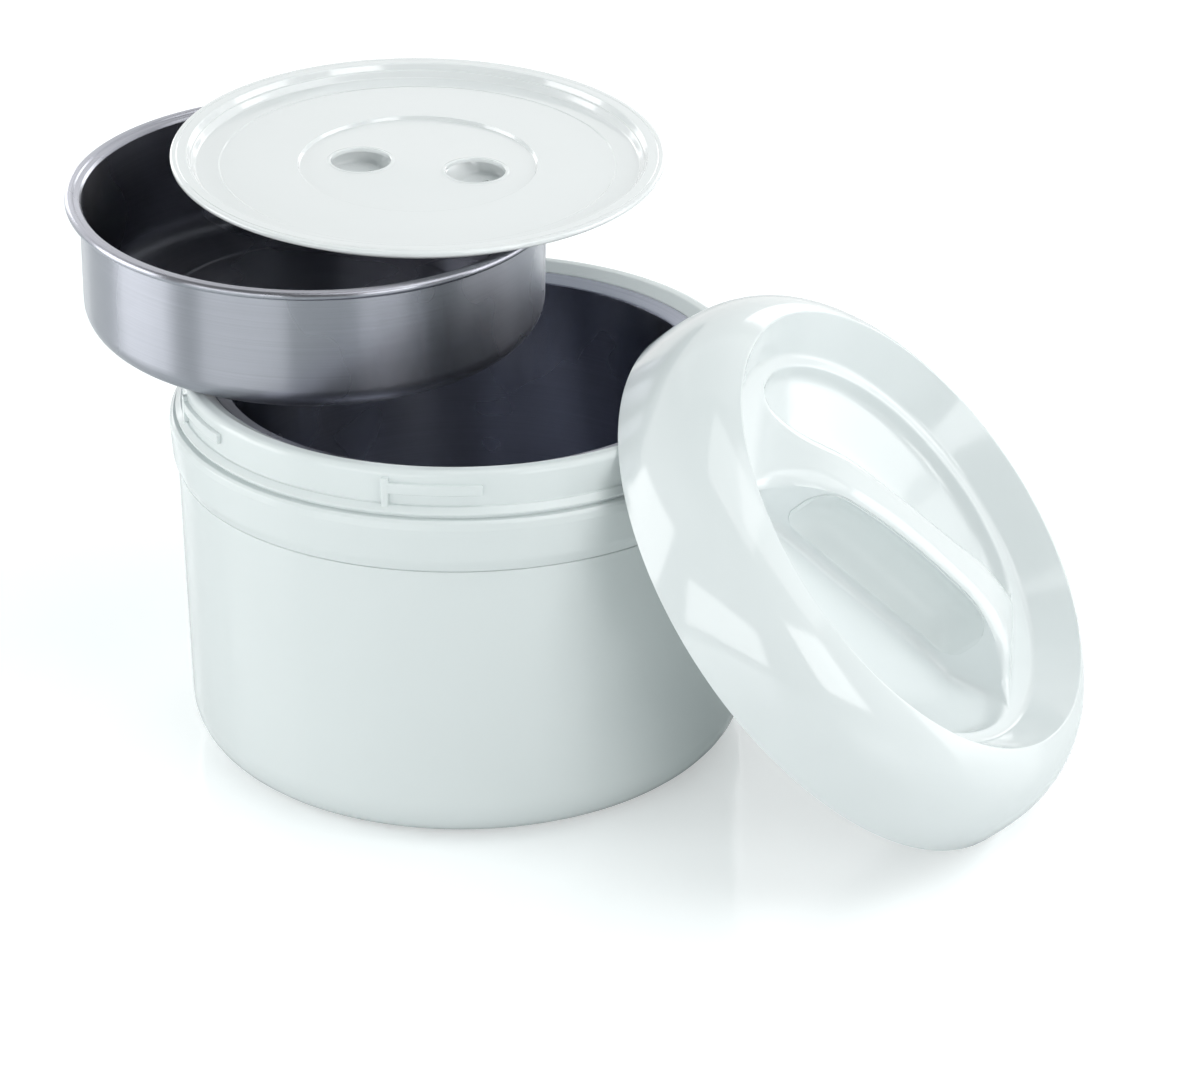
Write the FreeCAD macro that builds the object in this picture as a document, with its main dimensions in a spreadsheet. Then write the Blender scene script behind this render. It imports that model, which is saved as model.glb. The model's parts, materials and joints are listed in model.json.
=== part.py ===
"""Insulated yogurt maker: a double-walled pot, a steel bowl, its inner lid and a twist-on outer lid.

The pieces lie as they do on a kitchen worktop when the set is shown open: the bowl stands
tipped on the pot's mouth, the inner lid lies pushed back on the bowl, and the outer lid leans on
the pot. Millimetres, +Z up, origin at the centre of the pot's underside.
"""
import FreeCAD, Part
import math
import os
import re
import Sketcher

SIZES = {
    # Pot body.
    "seam_radius": 104.0,
    "seam_height": 109.1,
    "shell_taper": 1.2,
    "foot_round": 24.8,
    "shell_wall": 2.5,
    "pad_margin": 10.0,
    "pad_thickness": 1.8,
    "pad_stand": 0.5,
    # Collar that closes the top of the pot body.
    "collar_height": 19.6,
    "collar_swell": 1.8,
    "swell_height": 5.0,
    "collar_flare": 0.6,
    "collar_round": 1.0,
    "collar_wall": 2.5,
    "spigot_length": 7.0,
    "spigot_wall": 2.2,
    "collar_seal_height": 1.6,
    "collar_seal_depth": 1.2,
    # Neck with its flange and bayonet lugs.
    "neck_inset": 2.8,
    "neck_height": 16.4,
    "neck_wall": 2.5,
    "neck_round": 3.7,
    "neck_shelf": 9.2,
    "mouth_drop": 2.6,
    "flange_gap": 1.3,
    "flange_root": 1.4,
    "flange_stand": 2.9,
    "flange_edge": 0.7,
    "flange_chamfer": 1.9,
    "lug_count": 6,
    "lug_phase": -106.3,
    "lug_stand": 1.7,
    "lug_turn": 19.5,
    "lug_height": 8.1,
    "lug_thickness": 3.8,
    "stop_turn": 1.4,
    "stop_top": 13.6,
    # Steel tank inside the pot, and the foam round it.
    "tank_rim_width": 6.0,
    "tank_wall": 0.8,
    "tank_floor": 28.0,
    "tank_round": 8.0,
    "tank_rim_rise": 2.2,
    "tank_gasket_thickness": 1.0,
    "foam_gap": 2.1,
    # Steel bowl, with its height 0 at the top of the rim.
    "bowl_clearance": 1.6,
    "bowl_depth": 48.9,
    "bowl_round": 9.0,
    "bowl_wall": 0.8,
    "bead_inset": 2.4,
    "bead_step": 0.5,
    "bead_thickness": 3.0,
    # Inner lid, with its height 0 at the top of the flange.
    "plate_overhang": 0.8,
    "plate_fit": 0.7,
    "plate_edge": 2.3,
    "plate_wall": 1.2,
    "plate_step": 4.8,
    "plate_draft": 3.0,
    "plate_tier": 1.0,
    "plate_ring_margin": 8.5,
    "plate_ring_step": 0.3,
    "recess_margin": 6.9,
    "recess_depth": 1.3,
    "finger_radius": 11.25,
    "finger_bridge": 10.25,
    "cup_margin": 4.25,
    "cup_depth": 12.0,
    "cup_draft": 3.0,
    # Outer lid, with its height 0 at the crest of its rim.
    "skirt_gap": 0.4,
    "skirt_rise": 0.5,
    "lid_wall": 1.5,
    "shoulder_inset": 4.8,
    "shoulder_drop": 12.9,
    "shoulder_angle": 33.0,
    "lower_bend": 53.0,
    "upper_bend": 31.0,
    "crest_inset": 19.2,
    "crest_depth": 3.0,
    "dish_inset": 9.1,
    "dish_drop": 15.0,
    "dish_ledge": 4.0,
    "well_lip": 4.0,
    "well_draft": 1.8,
    "well_slope_width": 21.8,
    "well_slope_drop": 11.5,
    # Grip bar that bridges the dish, and the inserts in its flanks.
    "grip_half_width": 12.0,
    "grip_flare_length": 31.8,
    "grip_bend": 24.0,
    "grip_flare": 24.0,
    "grip_top": 1.0,
    "grip_slope_length": 20.0,
    "grip_slope_drop": 7.0,
    "grip_ramp_length": 20.0,
    "grip_end_margin": 7.8,
    "grip_overlap": 0.6,
    "flank_end_margin": 29.8,
    "flank_head_margin": 2.0,
    "flank_foot_margin": 1.5,
    "flank_shift": 3.4,
    "flank_depth": 2.2,
    "insert_thickness": 1.2,
    # Lining, foam and seal under the outer lid.
    "lining_wall": 1.2,
    "deck_gap": 2.0,
    "lining_edge_step": 0.3,
    "lining_bulge": 7.5,
    "lining_lean": 1.6,
    "plug_inset": 2.5,
    "lid_foam_margin": 3.0,
    "tab_turn": 14.0,
    "tab_gap": 0.6,
    "tab_bottom": 0.5,
    "tab_thickness": 3.0,
    "seal_inset": 0.5,
    "seal_half_width": 3.9,
    "seal_thickness": 4.3,
    "seal_rib": 1.0,
    "seal_rib_height": 1.8,
    # Clearances.
    "fit_gap": 0.3,
    "bond_gap": 0.1,
    "rest_gap": 0.3,
    # How the loose pieces lie.
    "bowl_back": 63.2,
    "bowl_azimuth": 147.1,
    "bowl_tilt": 3.44,
    "tilt_azimuth": -70.0,
    "plate_right": 37.9,
    "plate_back": 17.8,
    "finger_line_angle": -12.6,
    "lean_angle": 48.45,
    "lean_azimuth": -24.0,
    "lean_offset": 1.5,
    "grip_turn": 112.5,
}

# Sizes that follow from the ones above, so that what fits together stays together.
FITTED = {
    "pad_radius": "seam_radius - shell_taper - foot_round - pad_margin",
    "neck_radius": "seam_radius - neck_inset",
    "crown_radius": "neck_radius - neck_round",
    "mouth_radius": "neck_radius - neck_shelf",
    "tank_radius": "mouth_radius - tank_rim_width",
    "foam_radius": "seam_radius - shell_taper - shell_wall - foam_gap",
    "foam_round": "foot_round - shell_wall - foam_gap",
    "flange_height": "flange_gap + flange_edge + flange_chamfer",
    "bowl_radius": "tank_radius - bowl_clearance",
    "bead_radius": "mouth_radius - bead_inset",
    "bead_mouth": "bowl_radius + bead_step",
    "plate_radius": "bead_radius + plate_overhang",
    "plate_step_radius": "bead_mouth - plate_fit",
    "plate_ring_radius": "plate_step_radius - plate_draft - plate_ring_margin",
    "finger_offset": "finger_radius + finger_bridge",
    "cup_radius": "finger_radius + cup_margin",
    "recess_radius": "finger_offset + cup_radius + recess_margin",
    "lid_radius": "neck_radius + lug_stand + skirt_gap + lining_wall + bond_gap + lid_wall",
    "shoulder_radius": "lid_radius - shoulder_inset",
    "crest_radius": "lid_radius - crest_inset",
    "dish_radius": "crest_radius - dish_inset",
    "well_radius": "dish_radius - dish_ledge",
    "well_floor_radius": "well_radius - well_slope_width",
    "well_drop": "dish_drop + well_lip + well_slope_drop",
    "deck_drop": "dish_drop + well_lip + lid_wall + deck_gap",
    "seal_foot": "deck_drop + lining_wall + fit_gap + seal_thickness",
    "lid_height": "seal_foot + rest_gap + neck_height - flange_height - skirt_rise",
    "plug_mouth_radius": "well_radius - plug_inset",
    "seal_radius": "mouth_radius - seal_inset",
    "grip_straight": "well_radius - grip_flare_length",
    "grip_end": "well_radius - grip_end_margin",
    "grip_slope_end": "grip_end - grip_ramp_length",
    "grip_crown": "grip_slope_end - grip_slope_length",
    "flank_length": "2 * (well_radius - flank_end_margin)",
    "flank_height": "well_drop - flank_foot_margin - grip_top - flank_head_margin",
    "flank_middle": "grip_top + flank_head_margin + flank_height / 2",
}

COLLAR_TOP = "(seam_height + collar_height)"
NECK_TOP = "(seam_height + collar_height + neck_height)"
MOUTH = "(seam_height + collar_height + neck_height - mouth_drop)"
FLANGE_FOOT = "(seam_height + collar_height + flange_gap)"
DECK_FOOT = "(-deck_drop - lining_wall)"

UP = FreeCAD.Vector(0, 0, 1)
ACROSS = FreeCAD.Vector(0, 1, 0)
SKETCH_ON_XZ = FreeCAD.Rotation(FreeCAD.Vector(1, 0, 0), 90)
SKETCH_ON_YZ = FreeCAD.Rotation(FreeCAD.Vector(1, 1, 1), 120)

doc = FreeCAD.newDocument("YogurtMaker")


def make_sheet():
    """The spreadsheet that holds every driving size."""
    sheet = doc.addObject("Spreadsheet::Sheet", "Sizes")
    cells = list(SIZES.items()) + [(name, f"={formula}") for name, formula in FITTED.items()]
    for row, (name, content) in enumerate(cells, 1):
        sheet.set(f"A{row}", name)
        sheet.set(f"B{row}", str(content))
        sheet.setAlias(f"B{row}", name)
    doc.recompute()
    return sheet


def bound(text):
    """The formula with each size's name led by the sheet's, and function names left alone."""
    return re.sub(r"\b[a-z][a-z_]*\b(?!\()", r"Sizes.\g<0>", text)


def number(text):
    """What the formula is worth with the sheet's present sizes."""
    return float(doc.Sizes.evalExpression(bound(text)))


def side(start, end, bend):
    """A line or an arc from start to end, with the numbers of its start and end points.

    A positive bend turns left on the way and a negative one turns right.
    """
    first = FreeCAD.Vector(*start, 0)
    last = FreeCAD.Vector(*end, 0)
    if not bend:
        return Part.LineSegment(first, last), 1, 2
    chord = last - first
    left = UP.cross(chord).normalize()
    reach = math.sqrt(bend ** 2 - (chord.Length / 2) ** 2)
    centre = (first + last) * 0.5 + left * math.copysign(reach, bend)
    ends = (first, last) if bend > 0 else (last, first)
    angles = [math.atan2(point.y - centre.y, point.x - centre.x) for point in ends]
    arc = Part.ArcOfCircle(Part.Circle(centre, UP, abs(bend)), *angles)
    return (arc, 1, 2) if bend > 0 else (arc, 2, 1)


def draw(sketch, corners):
    """Draw a closed outline whose corners and bends stay bound to the sheet.

    Each corner is (across, up) or (across, up, bend), and its bend belongs to the side that
    leads to it.
    """
    places = [(number(corner[0]), number(corner[1])) for corner in corners]
    bends = [number(corner[2]) if len(corner) > 2 else 0 for corner in corners]
    sides = [side(places[k - 1], places[k], bends[k]) for k in range(len(corners))]
    sketch.addGeometry([geometry for geometry, _, _ in sides], False)
    limits = []
    formulas = []
    for k, corner in enumerate(corners):
        end = sides[k][2]
        following = (k + 1) % len(corners)
        limits.append(Sketcher.Constraint("Coincident", k, end, following, sides[following][1]))
        formulas.append(None)
        for kind, axis, text, place in (
            ("DistanceX", -2, corner[0], places[k][0]),
            ("DistanceY", -1, corner[1], places[k][1]),
        ):
            if text == "0":
                limits.append(Sketcher.Constraint("PointOnObject", k, end, axis))
                formulas.append(None)
            else:
                limits.append(Sketcher.Constraint(kind, -1, 1, k, end, place))
                formulas.append(bound(text))
        if bends[k]:
            limits.append(Sketcher.Constraint("Radius", k, abs(bends[k])))
            formulas.append(f"abs({bound(corner[2])})")
    sketch.addConstraint(limits)
    for k, formula in enumerate(formulas):
        if formula:
            sketch.setExpression(f"Constraints[{k}]", formula)


def sketch_in(body, name, role):
    """An empty sketch on one of the body's own planes."""
    sketch = body.newObject("Sketcher::SketchObject", name)
    plane = next(item for item in body.Origin.OriginFeatures if item.Role == role)
    sketch.AttachmentSupport = [(plane, "")]
    sketch.MapMode = "FlatFace"
    return sketch


def turn(body, name, corners, angle="360", centred=False):
    """A revolved feature of the outline about the body's upright axis."""
    feature = body.newObject("PartDesign::Revolution", name)
    outline = sketch_in(body, name + "_outline", "XZ_Plane")
    draw(outline, corners)
    feature.Profile = outline
    feature.ReferenceAxis = (feature.Profile[0], ["V_Axis"])
    feature.setExpression("Angle", bound(angle))
    feature.Midplane = centred
    return feature


def ring_pattern(body, name, features, count):
    """The features repeated evenly about the body's upright axis."""
    pattern = body.newObject("PartDesign::PolarPattern", name)
    pattern.Originals = features
    pattern.Axis = (features[0].Profile[0], ["V_Axis"])
    pattern.Angle = 360
    pattern.setExpression("Occurrences", bound(count))
    body.Tip = pattern


def new_body(label):
    """An empty body that carries the sub-part's name."""
    body = doc.addObject("PartDesign::Body", label)
    body.Label = label
    return body


def turned_body(label, corners):
    """A sub-part that is one outline turned about its own axis."""
    body = new_body(label)
    turn(body, label + "_turned", corners)
    return body


def free_sketch(name, corners, rotation):
    """A sketch outside any body, laid in the plane that the rotation gives."""
    sketch = doc.addObject("Sketcher::SketchObject", name)
    sketch.Placement = FreeCAD.Placement(FreeCAD.Vector(), rotation)
    draw(sketch, corners)
    return sketch


def prism(name, corners, rotation, forward, backward="0"):
    """The outline pushed along its sketch's normal, by two distances from the sheet."""
    solid = doc.addObject("Part::Extrusion", name)
    solid.Base = free_sketch(name + "_outline", corners, rotation)
    solid.DirMode = "Normal"
    solid.Solid = True
    solid.setExpression("LengthFwd", bound(forward))
    solid.setExpression("LengthRev", bound(backward))
    return solid


def many(kind, name, shapes):
    """A fusion or common part of several objects."""
    result = doc.addObject(kind, name)
    result.Shapes = shapes
    return result


def cut(name, base, tool):
    """The base with the tool taken away."""
    result = doc.addObject("Part::Cut", name)
    result.Label = name
    result.Base = base
    result.Tool = tool
    return result


# ---------------------------------------------------------------- pot


def outer_shell():
    """Moulded pot body, closed below, with a shallow seat for the pad."""
    foot = "seam_radius - shell_taper"
    return turned_body("outer_shell", [
        ("pad_radius + bond_gap", "pad_stand"),
        (f"{foot} - foot_round", "pad_stand"),
        (foot, "pad_stand + foot_round", "foot_round"),
        ("seam_radius", "seam_height"),
        ("seam_radius - shell_wall", "seam_height"),
        (f"{foot} - shell_wall", "pad_stand + foot_round"),
        (f"{foot} - foot_round", "pad_stand + shell_wall", "shell_wall - foot_round"),
        ("pad_radius + shell_wall", "pad_stand + shell_wall"),
        ("pad_radius", "pad_thickness + shell_wall"),
        ("0", "pad_thickness + shell_wall"),
        ("0", "pad_thickness"),
        ("pad_radius + bond_gap", "pad_thickness"),
    ])


def non_slip_pad():
    """Soft disc under the pot, on which it stands."""
    return turned_body("non_slip_pad", [
        ("0", "0"),
        ("pad_radius", "0"),
        ("pad_radius", "pad_thickness"),
        ("0", "pad_thickness"),
    ])


def shoulder_collar():
    """Collar that swells out over the seam, with a spigot that fits inside the shell."""
    foot = "seam_radius + collar_swell"
    wide = "seam_radius + collar_swell + collar_flare"
    spigot = "seam_radius - shell_wall - fit_gap"
    swell_bend = "(collar_swell ^ 2 + swell_height ^ 2) / (2 * collar_swell)"
    seal_foot = "seam_height - spigot_length / 2 - collar_seal_height / 2"
    seal_head = "seam_height - spigot_length / 2 + collar_seal_height / 2"
    return turned_body("shoulder_collar", [
        (f"{spigot} - spigot_wall", "seam_height - spigot_length"),
        (spigot, "seam_height - spigot_length"),
        (spigot, seal_foot),
        (f"{spigot} - collar_seal_depth", seal_foot),
        (f"{spigot} - collar_seal_depth", seal_head),
        (spigot, seal_head),
        (spigot, "seam_height"),
        ("seam_radius", "seam_height"),
        (foot, "seam_height + swell_height", swell_bend),
        (wide, f"{COLLAR_TOP} - collar_round"),
        (f"{wide} - collar_round", COLLAR_TOP, "collar_round"),
        ("neck_radius - neck_wall", COLLAR_TOP),
        ("neck_radius - neck_wall", f"{COLLAR_TOP} - collar_wall"),
        (f"{wide} - collar_wall", f"{COLLAR_TOP} - collar_wall"),
        (f"{foot} - collar_wall", "seam_height + swell_height"),
        (f"{spigot} - spigot_wall", "seam_height + collar_swell"),
    ])


def collar_seal():
    """Square-section sealing ring in the collar's spigot."""
    root = "seam_radius - shell_wall - fit_gap - collar_seal_depth"
    outside = "seam_radius - shell_wall - fit_gap"
    foot = "seam_height - spigot_length / 2 - collar_seal_height / 2"
    head = "seam_height - spigot_length / 2 + collar_seal_height / 2"
    return turned_body("collar_seal", [
        (root, foot),
        (outside, foot),
        (outside, head),
        (root, head),
    ])


def neck_ring():
    """Upright neck with a flange, six bayonet lugs and a sloping seat for the tank's rim."""
    body = new_body("neck_ring")
    inside = "neck_radius - neck_wall"
    seat = f"{MOUTH} - bond_gap - tank_wall - tank_gasket_thickness"
    seat_mouth = "tank_radius + tank_wall + fit_gap"
    crown_bend = "((crown_radius - mouth_radius) ^ 2 + mouth_drop ^ 2) / (2 * mouth_drop)"
    web = f"{seat} - tank_rim_rise - neck_wall"
    turn(body, "neck_ring_turned", [
        (inside, COLLAR_TOP),
        ("neck_radius + flange_root", COLLAR_TOP),
        ("neck_radius + flange_root", FLANGE_FOOT),
        ("neck_radius + flange_stand", FLANGE_FOOT),
        ("neck_radius + flange_stand", f"{FLANGE_FOOT} + flange_edge"),
        ("neck_radius + flange_stand - flange_chamfer", f"{COLLAR_TOP} + flange_height"),
        ("neck_radius", f"{COLLAR_TOP} + flange_height"),
        ("neck_radius", f"{NECK_TOP} - neck_round"),
        ("crown_radius", NECK_TOP, "neck_round"),
        ("mouth_radius", MOUTH, crown_bend),
        ("mouth_radius", seat),
        (seat_mouth, f"{seat} - tank_rim_rise"),
        (seat_mouth, web),
        (inside, web),
    ])
    lug_foot = f"{COLLAR_TOP} + lug_height"
    bar = turn(body, "lug_bar", [
        ("neck_radius - neck_wall / 2", lug_foot),
        ("neck_radius + lug_stand", lug_foot),
        ("neck_radius + lug_stand", f"{lug_foot} + lug_thickness"),
        ("neck_radius - neck_wall / 2", f"{lug_foot} + lug_thickness"),
    ], "lug_turn")
    stop_foot = f"{FLANGE_FOOT} + flange_edge"
    stop = turn(body, "lug_stop", [
        ("neck_radius - neck_wall / 2", stop_foot),
        ("neck_radius + lug_stand", stop_foot),
        ("neck_radius + lug_stand", f"{COLLAR_TOP} + stop_top"),
        ("neck_radius - neck_wall / 2", f"{COLLAR_TOP} + stop_top"),
    ], "stop_turn")
    for feature in (bar, stop):
        feature.Reversed = True
    doc.recompute()
    ring_pattern(body, "lugs_round_the_neck", [bar, stop], "lug_count")
    body.Placement = FreeCAD.Placement(FreeCAD.Vector(), FreeCAD.Rotation(UP, number("lug_phase")))
    return body


def liner_tank():
    """Deep-drawn steel tank, hung in the neck by its sloping rim."""
    outside = "tank_radius + tank_wall"
    rim = f"{MOUTH} - bond_gap"
    return turned_body("liner_tank", [
        ("0", "tank_floor"),
        ("tank_radius - tank_round", "tank_floor"),
        ("tank_radius", "tank_floor + tank_round", "tank_round"),
        ("tank_radius", f"{rim} - tank_rim_rise"),
        ("mouth_radius - bond_gap", rim),
        ("mouth_radius - bond_gap", f"{rim} - tank_wall"),
        (outside, f"{rim} - tank_wall - tank_rim_rise"),
        (outside, "tank_floor + tank_round"),
        ("tank_radius - tank_round", "tank_floor - tank_wall", "-(tank_round + tank_wall)"),
        ("0", "tank_floor - tank_wall"),
    ])


def liner_gasket():
    """Gasket between the tank's rim and its seat in the neck."""
    head = f"{MOUTH} - bond_gap - tank_wall"
    return turned_body("liner_gasket", [
        ("tank_radius + tank_wall + fit_gap", f"{head} - tank_gasket_thickness - tank_rim_rise"),
        ("mouth_radius - bond_gap", f"{head} - tank_gasket_thickness"),
        ("mouth_radius - bond_gap", head),
        ("tank_radius + tank_wall + fit_gap", f"{head} - tank_rim_rise"),
    ])


def wall_insulation():
    """Foam sleeve round the tank."""
    head = f"{MOUTH} - bond_gap - tank_wall - tank_gasket_thickness - tank_rim_rise - neck_wall"
    return turned_body("wall_insulation", [
        ("tank_radius + tank_wall + fit_gap", "tank_floor - tank_wall"),
        ("foam_radius", "tank_floor - tank_wall"),
        ("foam_radius", f"{head} - fit_gap"),
        ("tank_radius + tank_wall + fit_gap", f"{head} - fit_gap"),
    ])


def floor_insulation():
    """Foam disc between the tank's floor and the shell's."""
    foot = "pad_thickness + shell_wall + fit_gap"
    head = "tank_floor - tank_wall - fit_gap"
    return turned_body("floor_insulation", [
        ("0", foot),
        ("foam_radius - foam_round", foot),
        ("foam_radius", f"{foot} + foam_round", "foam_round"),
        ("foam_radius", head),
        ("0", head),
    ])


# ---------------------------------------------------------------- bowl and inner lid


def bowl():
    """Steel bowl with a rolled bead round its mouth."""
    inside = "bowl_radius - bowl_wall"
    edge_bend = "bead_thickness / 2"
    return turned_body("bowl", [
        ("0", "-bowl_depth"),
        ("bowl_radius - bowl_round", "-bowl_depth"),
        ("bowl_radius", "bowl_round - bowl_depth", "bowl_round"),
        ("bowl_radius", "-bead_thickness - bowl_wall"),
        ("bowl_radius + bowl_wall", "-bead_thickness"),
        (f"bead_radius - {edge_bend}", "-bead_thickness"),
        ("bead_radius", f"-{edge_bend}", edge_bend),
        (f"bead_radius - {edge_bend}", "0", edge_bend),
        ("bead_mouth", "0"),
        (inside, "bead_mouth - bead_thickness - bowl_radius"),
        (inside, "bowl_round - bowl_depth"),
        ("bowl_radius - bowl_round", "bowl_wall - bowl_depth", "bowl_wall - bowl_round"),
        ("0", "bowl_wall - bowl_depth"),
    ])


def inner_lid_plate():
    """Moulded inner lid: a flange, a stepped wall, a shallow recess and two finger holes."""
    body = new_body("inner_lid_plate")
    floor = "(-plate_step)"
    ring_floor = "(-plate_step - plate_ring_step)"
    recess_floor = "(-plate_step - plate_ring_step - recess_depth)"
    plate = turn(body, "inner_lid_turned", [
        ("0", recess_floor),
        ("recess_radius - recess_depth", recess_floor),
        ("recess_radius", ring_floor),
        ("plate_ring_radius - plate_ring_step", ring_floor),
        ("plate_ring_radius", floor),
        ("plate_step_radius - plate_draft", floor),
        ("plate_step_radius - plate_draft / 2", "-plate_step / 2"),
        ("plate_step_radius - plate_tier", "-plate_step / 2"),
        ("plate_step_radius", "0"),
        ("plate_radius - plate_edge / 2", "0"),
        ("plate_radius", "-plate_edge / 2", "-plate_edge / 2"),
        ("plate_radius - plate_edge / 2", "-plate_edge", "-plate_edge / 2"),
        ("plate_step_radius + plate_wall", "-plate_edge"),
        ("plate_step_radius - plate_draft + plate_wall", f"{floor} - plate_wall"),
        ("plate_ring_radius", f"{floor} - plate_wall"),
        ("plate_ring_radius - plate_ring_step", f"{ring_floor} - plate_wall"),
        ("recess_radius", f"{ring_floor} - plate_wall"),
        ("recess_radius - recess_depth", f"{recess_floor} - plate_wall"),
        ("0", f"{recess_floor} - plate_wall"),
    ])
    doc.recompute()
    whole = plate.Shape.Volume
    holes = sketch_in(body, "finger_holes_outline", "XY_Plane")
    for k, sign in enumerate((-1, 1)):
        centre = FreeCAD.Vector(sign * number("finger_offset"), 0, 0)
        holes.addGeometry(Part.Circle(centre, UP, number("finger_radius")), False)
        holes.addConstraint(Sketcher.Constraint("Radius", k, number("finger_radius")))
        holes.setExpression(f"Constraints[{3 * k}]", bound("finger_radius"))
        holes.addConstraint(Sketcher.Constraint("DistanceX", -1, 1, k, 3, centre.x))
        holes.setExpression(f"Constraints[{3 * k + 1}]", bound(f"{sign} * finger_offset"))
        holes.addConstraint(Sketcher.Constraint("PointOnObject", k, 3, -1))
    pocket = body.newObject("PartDesign::Pocket", "finger_holes")
    pocket.Profile = holes
    pocket.Type = "ThroughAll"
    doc.recompute()
    if pocket.Shape.Volume > whole - 1:
        raise RuntimeError("the finger holes cut nothing")
    return body


def finger_cup(side_name):
    """Blind cup under one finger hole, which keeps the inner lid closed."""
    head = "-plate_step - plate_ring_step - recess_depth - plate_wall"
    return turned_body(f"finger_cup_{side_name}", [
        ("0", f"{head} - cup_depth"),
        ("cup_radius - cup_draft", f"{head} - cup_depth"),
        ("cup_radius", head),
        ("cup_radius - plate_wall", head),
        ("cup_radius - cup_draft - plate_wall", f"{head} - cup_depth + plate_wall"),
        ("0", f"{head} - cup_depth + plate_wall"),
    ])


# ---------------------------------------------------------------- outer lid


def grip_plan(half_width):
    """Plan of the grip bar: straight flanks that flare out towards both ends."""
    wide = f"({half_width} + grip_flare)"
    far = "(grip_straight + sqrt(grip_flare * (2 * grip_bend - grip_flare)))"
    end = "(well_radius + 2 * grip_overlap)"
    return [
        (half_width, "-grip_straight", "-grip_bend"),
        (half_width, "grip_straight"),
        (wide, far, "-grip_bend"),
        (wide, end),
        (f"-{wide}", end),
        (f"-{wide}", far),
        (f"-({half_width})", "grip_straight", "-grip_bend"),
        (f"-({half_width})", "-grip_straight"),
        (f"-{wide}", f"-{far}", "-grip_bend"),
        (f"-{wide}", f"-{end}"),
        (wide, f"-{end}"),
        (wide, f"-{far}"),
    ]


def grip_side(sink, foot):
    """Side view of the grip bar: a level crown that slopes down to the dish at both ends."""
    end = "(well_radius + 2 * grip_overlap)"
    right = [
        (end, foot),
        (end, f"-dish_drop - {sink}"),
        ("grip_end", f"-dish_drop - {sink}"),
        ("grip_slope_end", f"-grip_slope_drop - {sink}"),
        ("grip_crown", f"-grip_top - {sink}"),
    ]
    left = [(f"-{across}", up) for across, up in right[::-1]]
    return right + left


def lathe(name, corners):
    """A solid turned about the upright axis, outside any body."""
    solid = doc.addObject("Part::Revolution", name)
    solid.Source = free_sketch(name + "_outline", corners, SKETCH_ON_XZ)
    solid.Axis = UP
    solid.Base = FreeCAD.Vector()
    solid.Angle = 360
    solid.Solid = True
    return solid


def grip_solid(name, half_width, sink, radius, shoulder, foot):
    """The grip bar as the common part of its plan, its side view and a round limit.

    The limit narrows from the shoulder down, as the wells do.
    """
    plan = prism(name + "_plan", grip_plan(half_width), FreeCAD.Rotation(), "0", f"-({foot})")
    profile = prism(name + "_side", grip_side(sink, foot), SKETCH_ON_YZ, "well_radius", "well_radius")
    limit = lathe(name + "_limit", [
        ("0", "0"),
        ("0", foot),
        ("well_floor_radius", foot),
        (radius, shoulder),
        (radius, "0"),
    ])
    return many("Part::MultiCommon", name, [plan, profile, limit])


def flank_prism(name, rim, near, far, turned):
    """A round-ended slab in one flank of the grip bar, from near to far across the bar."""
    half = f"(flank_height / 2 - {rim})"
    left = "-flank_shift - (flank_length - flank_height) / 2"
    right = "-flank_shift + (flank_length - flank_height) / 2"
    slab = prism(name, [
        (right, f"-flank_middle - {half}"),
        (f"{right} + {half}", "-flank_middle", half),
        (right, f"-flank_middle + {half}", half),
        (left, f"-flank_middle + {half}"),
        (f"{left} - {half}", "-flank_middle", half),
        (left, f"-flank_middle - {half}", half),
    ], SKETCH_ON_YZ, near, far)
    slab.Placement = FreeCAD.Placement(FreeCAD.Vector(), FreeCAD.Rotation(UP, 180 if turned else 0))
    return slab


def lid_shell():
    """Outer moulding of the lid: bulging skirt, conical rim, dish with two wells and a grip."""
    shell = lathe("lid_shell_turned", [
        ("lid_radius", "-lid_height"),
        ("shoulder_radius", "-shoulder_drop", "lower_bend"),
        ("crest_radius", "0", "upper_bend"),
        ("dish_radius", "-dish_drop"),
        ("well_radius", "-dish_drop"),
        ("well_radius - well_draft", "-dish_drop - well_lip"),
        ("well_floor_radius", "-well_drop"),
        ("0", "-well_drop"),
        ("0", "-well_drop - lid_wall"),
        ("well_floor_radius", "-well_drop - lid_wall"),
        ("well_radius - well_draft + lid_wall", "-dish_drop - well_lip - lid_wall"),
        ("well_radius + lid_wall", "-dish_drop - lid_wall"),
        ("dish_radius + lid_wall", "-dish_drop - lid_wall"),
        ("crest_radius", "-crest_depth"),
        (
            "shoulder_radius - lid_wall * cos(shoulder_angle)",
            "-shoulder_drop - lid_wall * sin(shoulder_angle)",
            "lid_wall - upper_bend",
        ),
        ("lid_radius - lid_wall", "-lid_height", "lid_wall - lower_bend"),
    ])
    foot = "-well_drop - lid_wall"
    shoulder = "-dish_drop - well_lip - lid_wall"
    bar = grip_solid("grip_bar", "grip_half_width", "0", "well_radius + grip_overlap", shoulder, foot)
    whole = many("Part::MultiFuse", "lid_with_grip", [shell, bar])
    hollow = grip_solid(
        "grip_hollow",
        "grip_half_width - flank_depth - lid_wall",
        "lid_wall",
        "well_radius + grip_overlap - lid_wall",
        f"{shoulder} - lid_wall",
        f"{foot} - lid_wall",
    )
    near = "flank_depth - grip_half_width"
    recesses = [
        flank_prism(f"flank_recess_{k}", "0", near, "grip_half_width + grip_flare", k) for k in range(2)
    ]
    return cut("lid_shell", whole, many("Part::MultiFuse", "lid_cuts", [hollow] + recesses))


def grip_insert(side_name, turned):
    """Soft insert in one flank of the grip bar."""
    near = "flank_depth - grip_half_width"
    far = "grip_half_width - flank_depth + insert_thickness"
    slab = flank_prism(f"grip_insert_{side_name}", "bond_gap", near, far, turned)
    slab.Label = f"grip_insert_{side_name}"
    return slab


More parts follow.
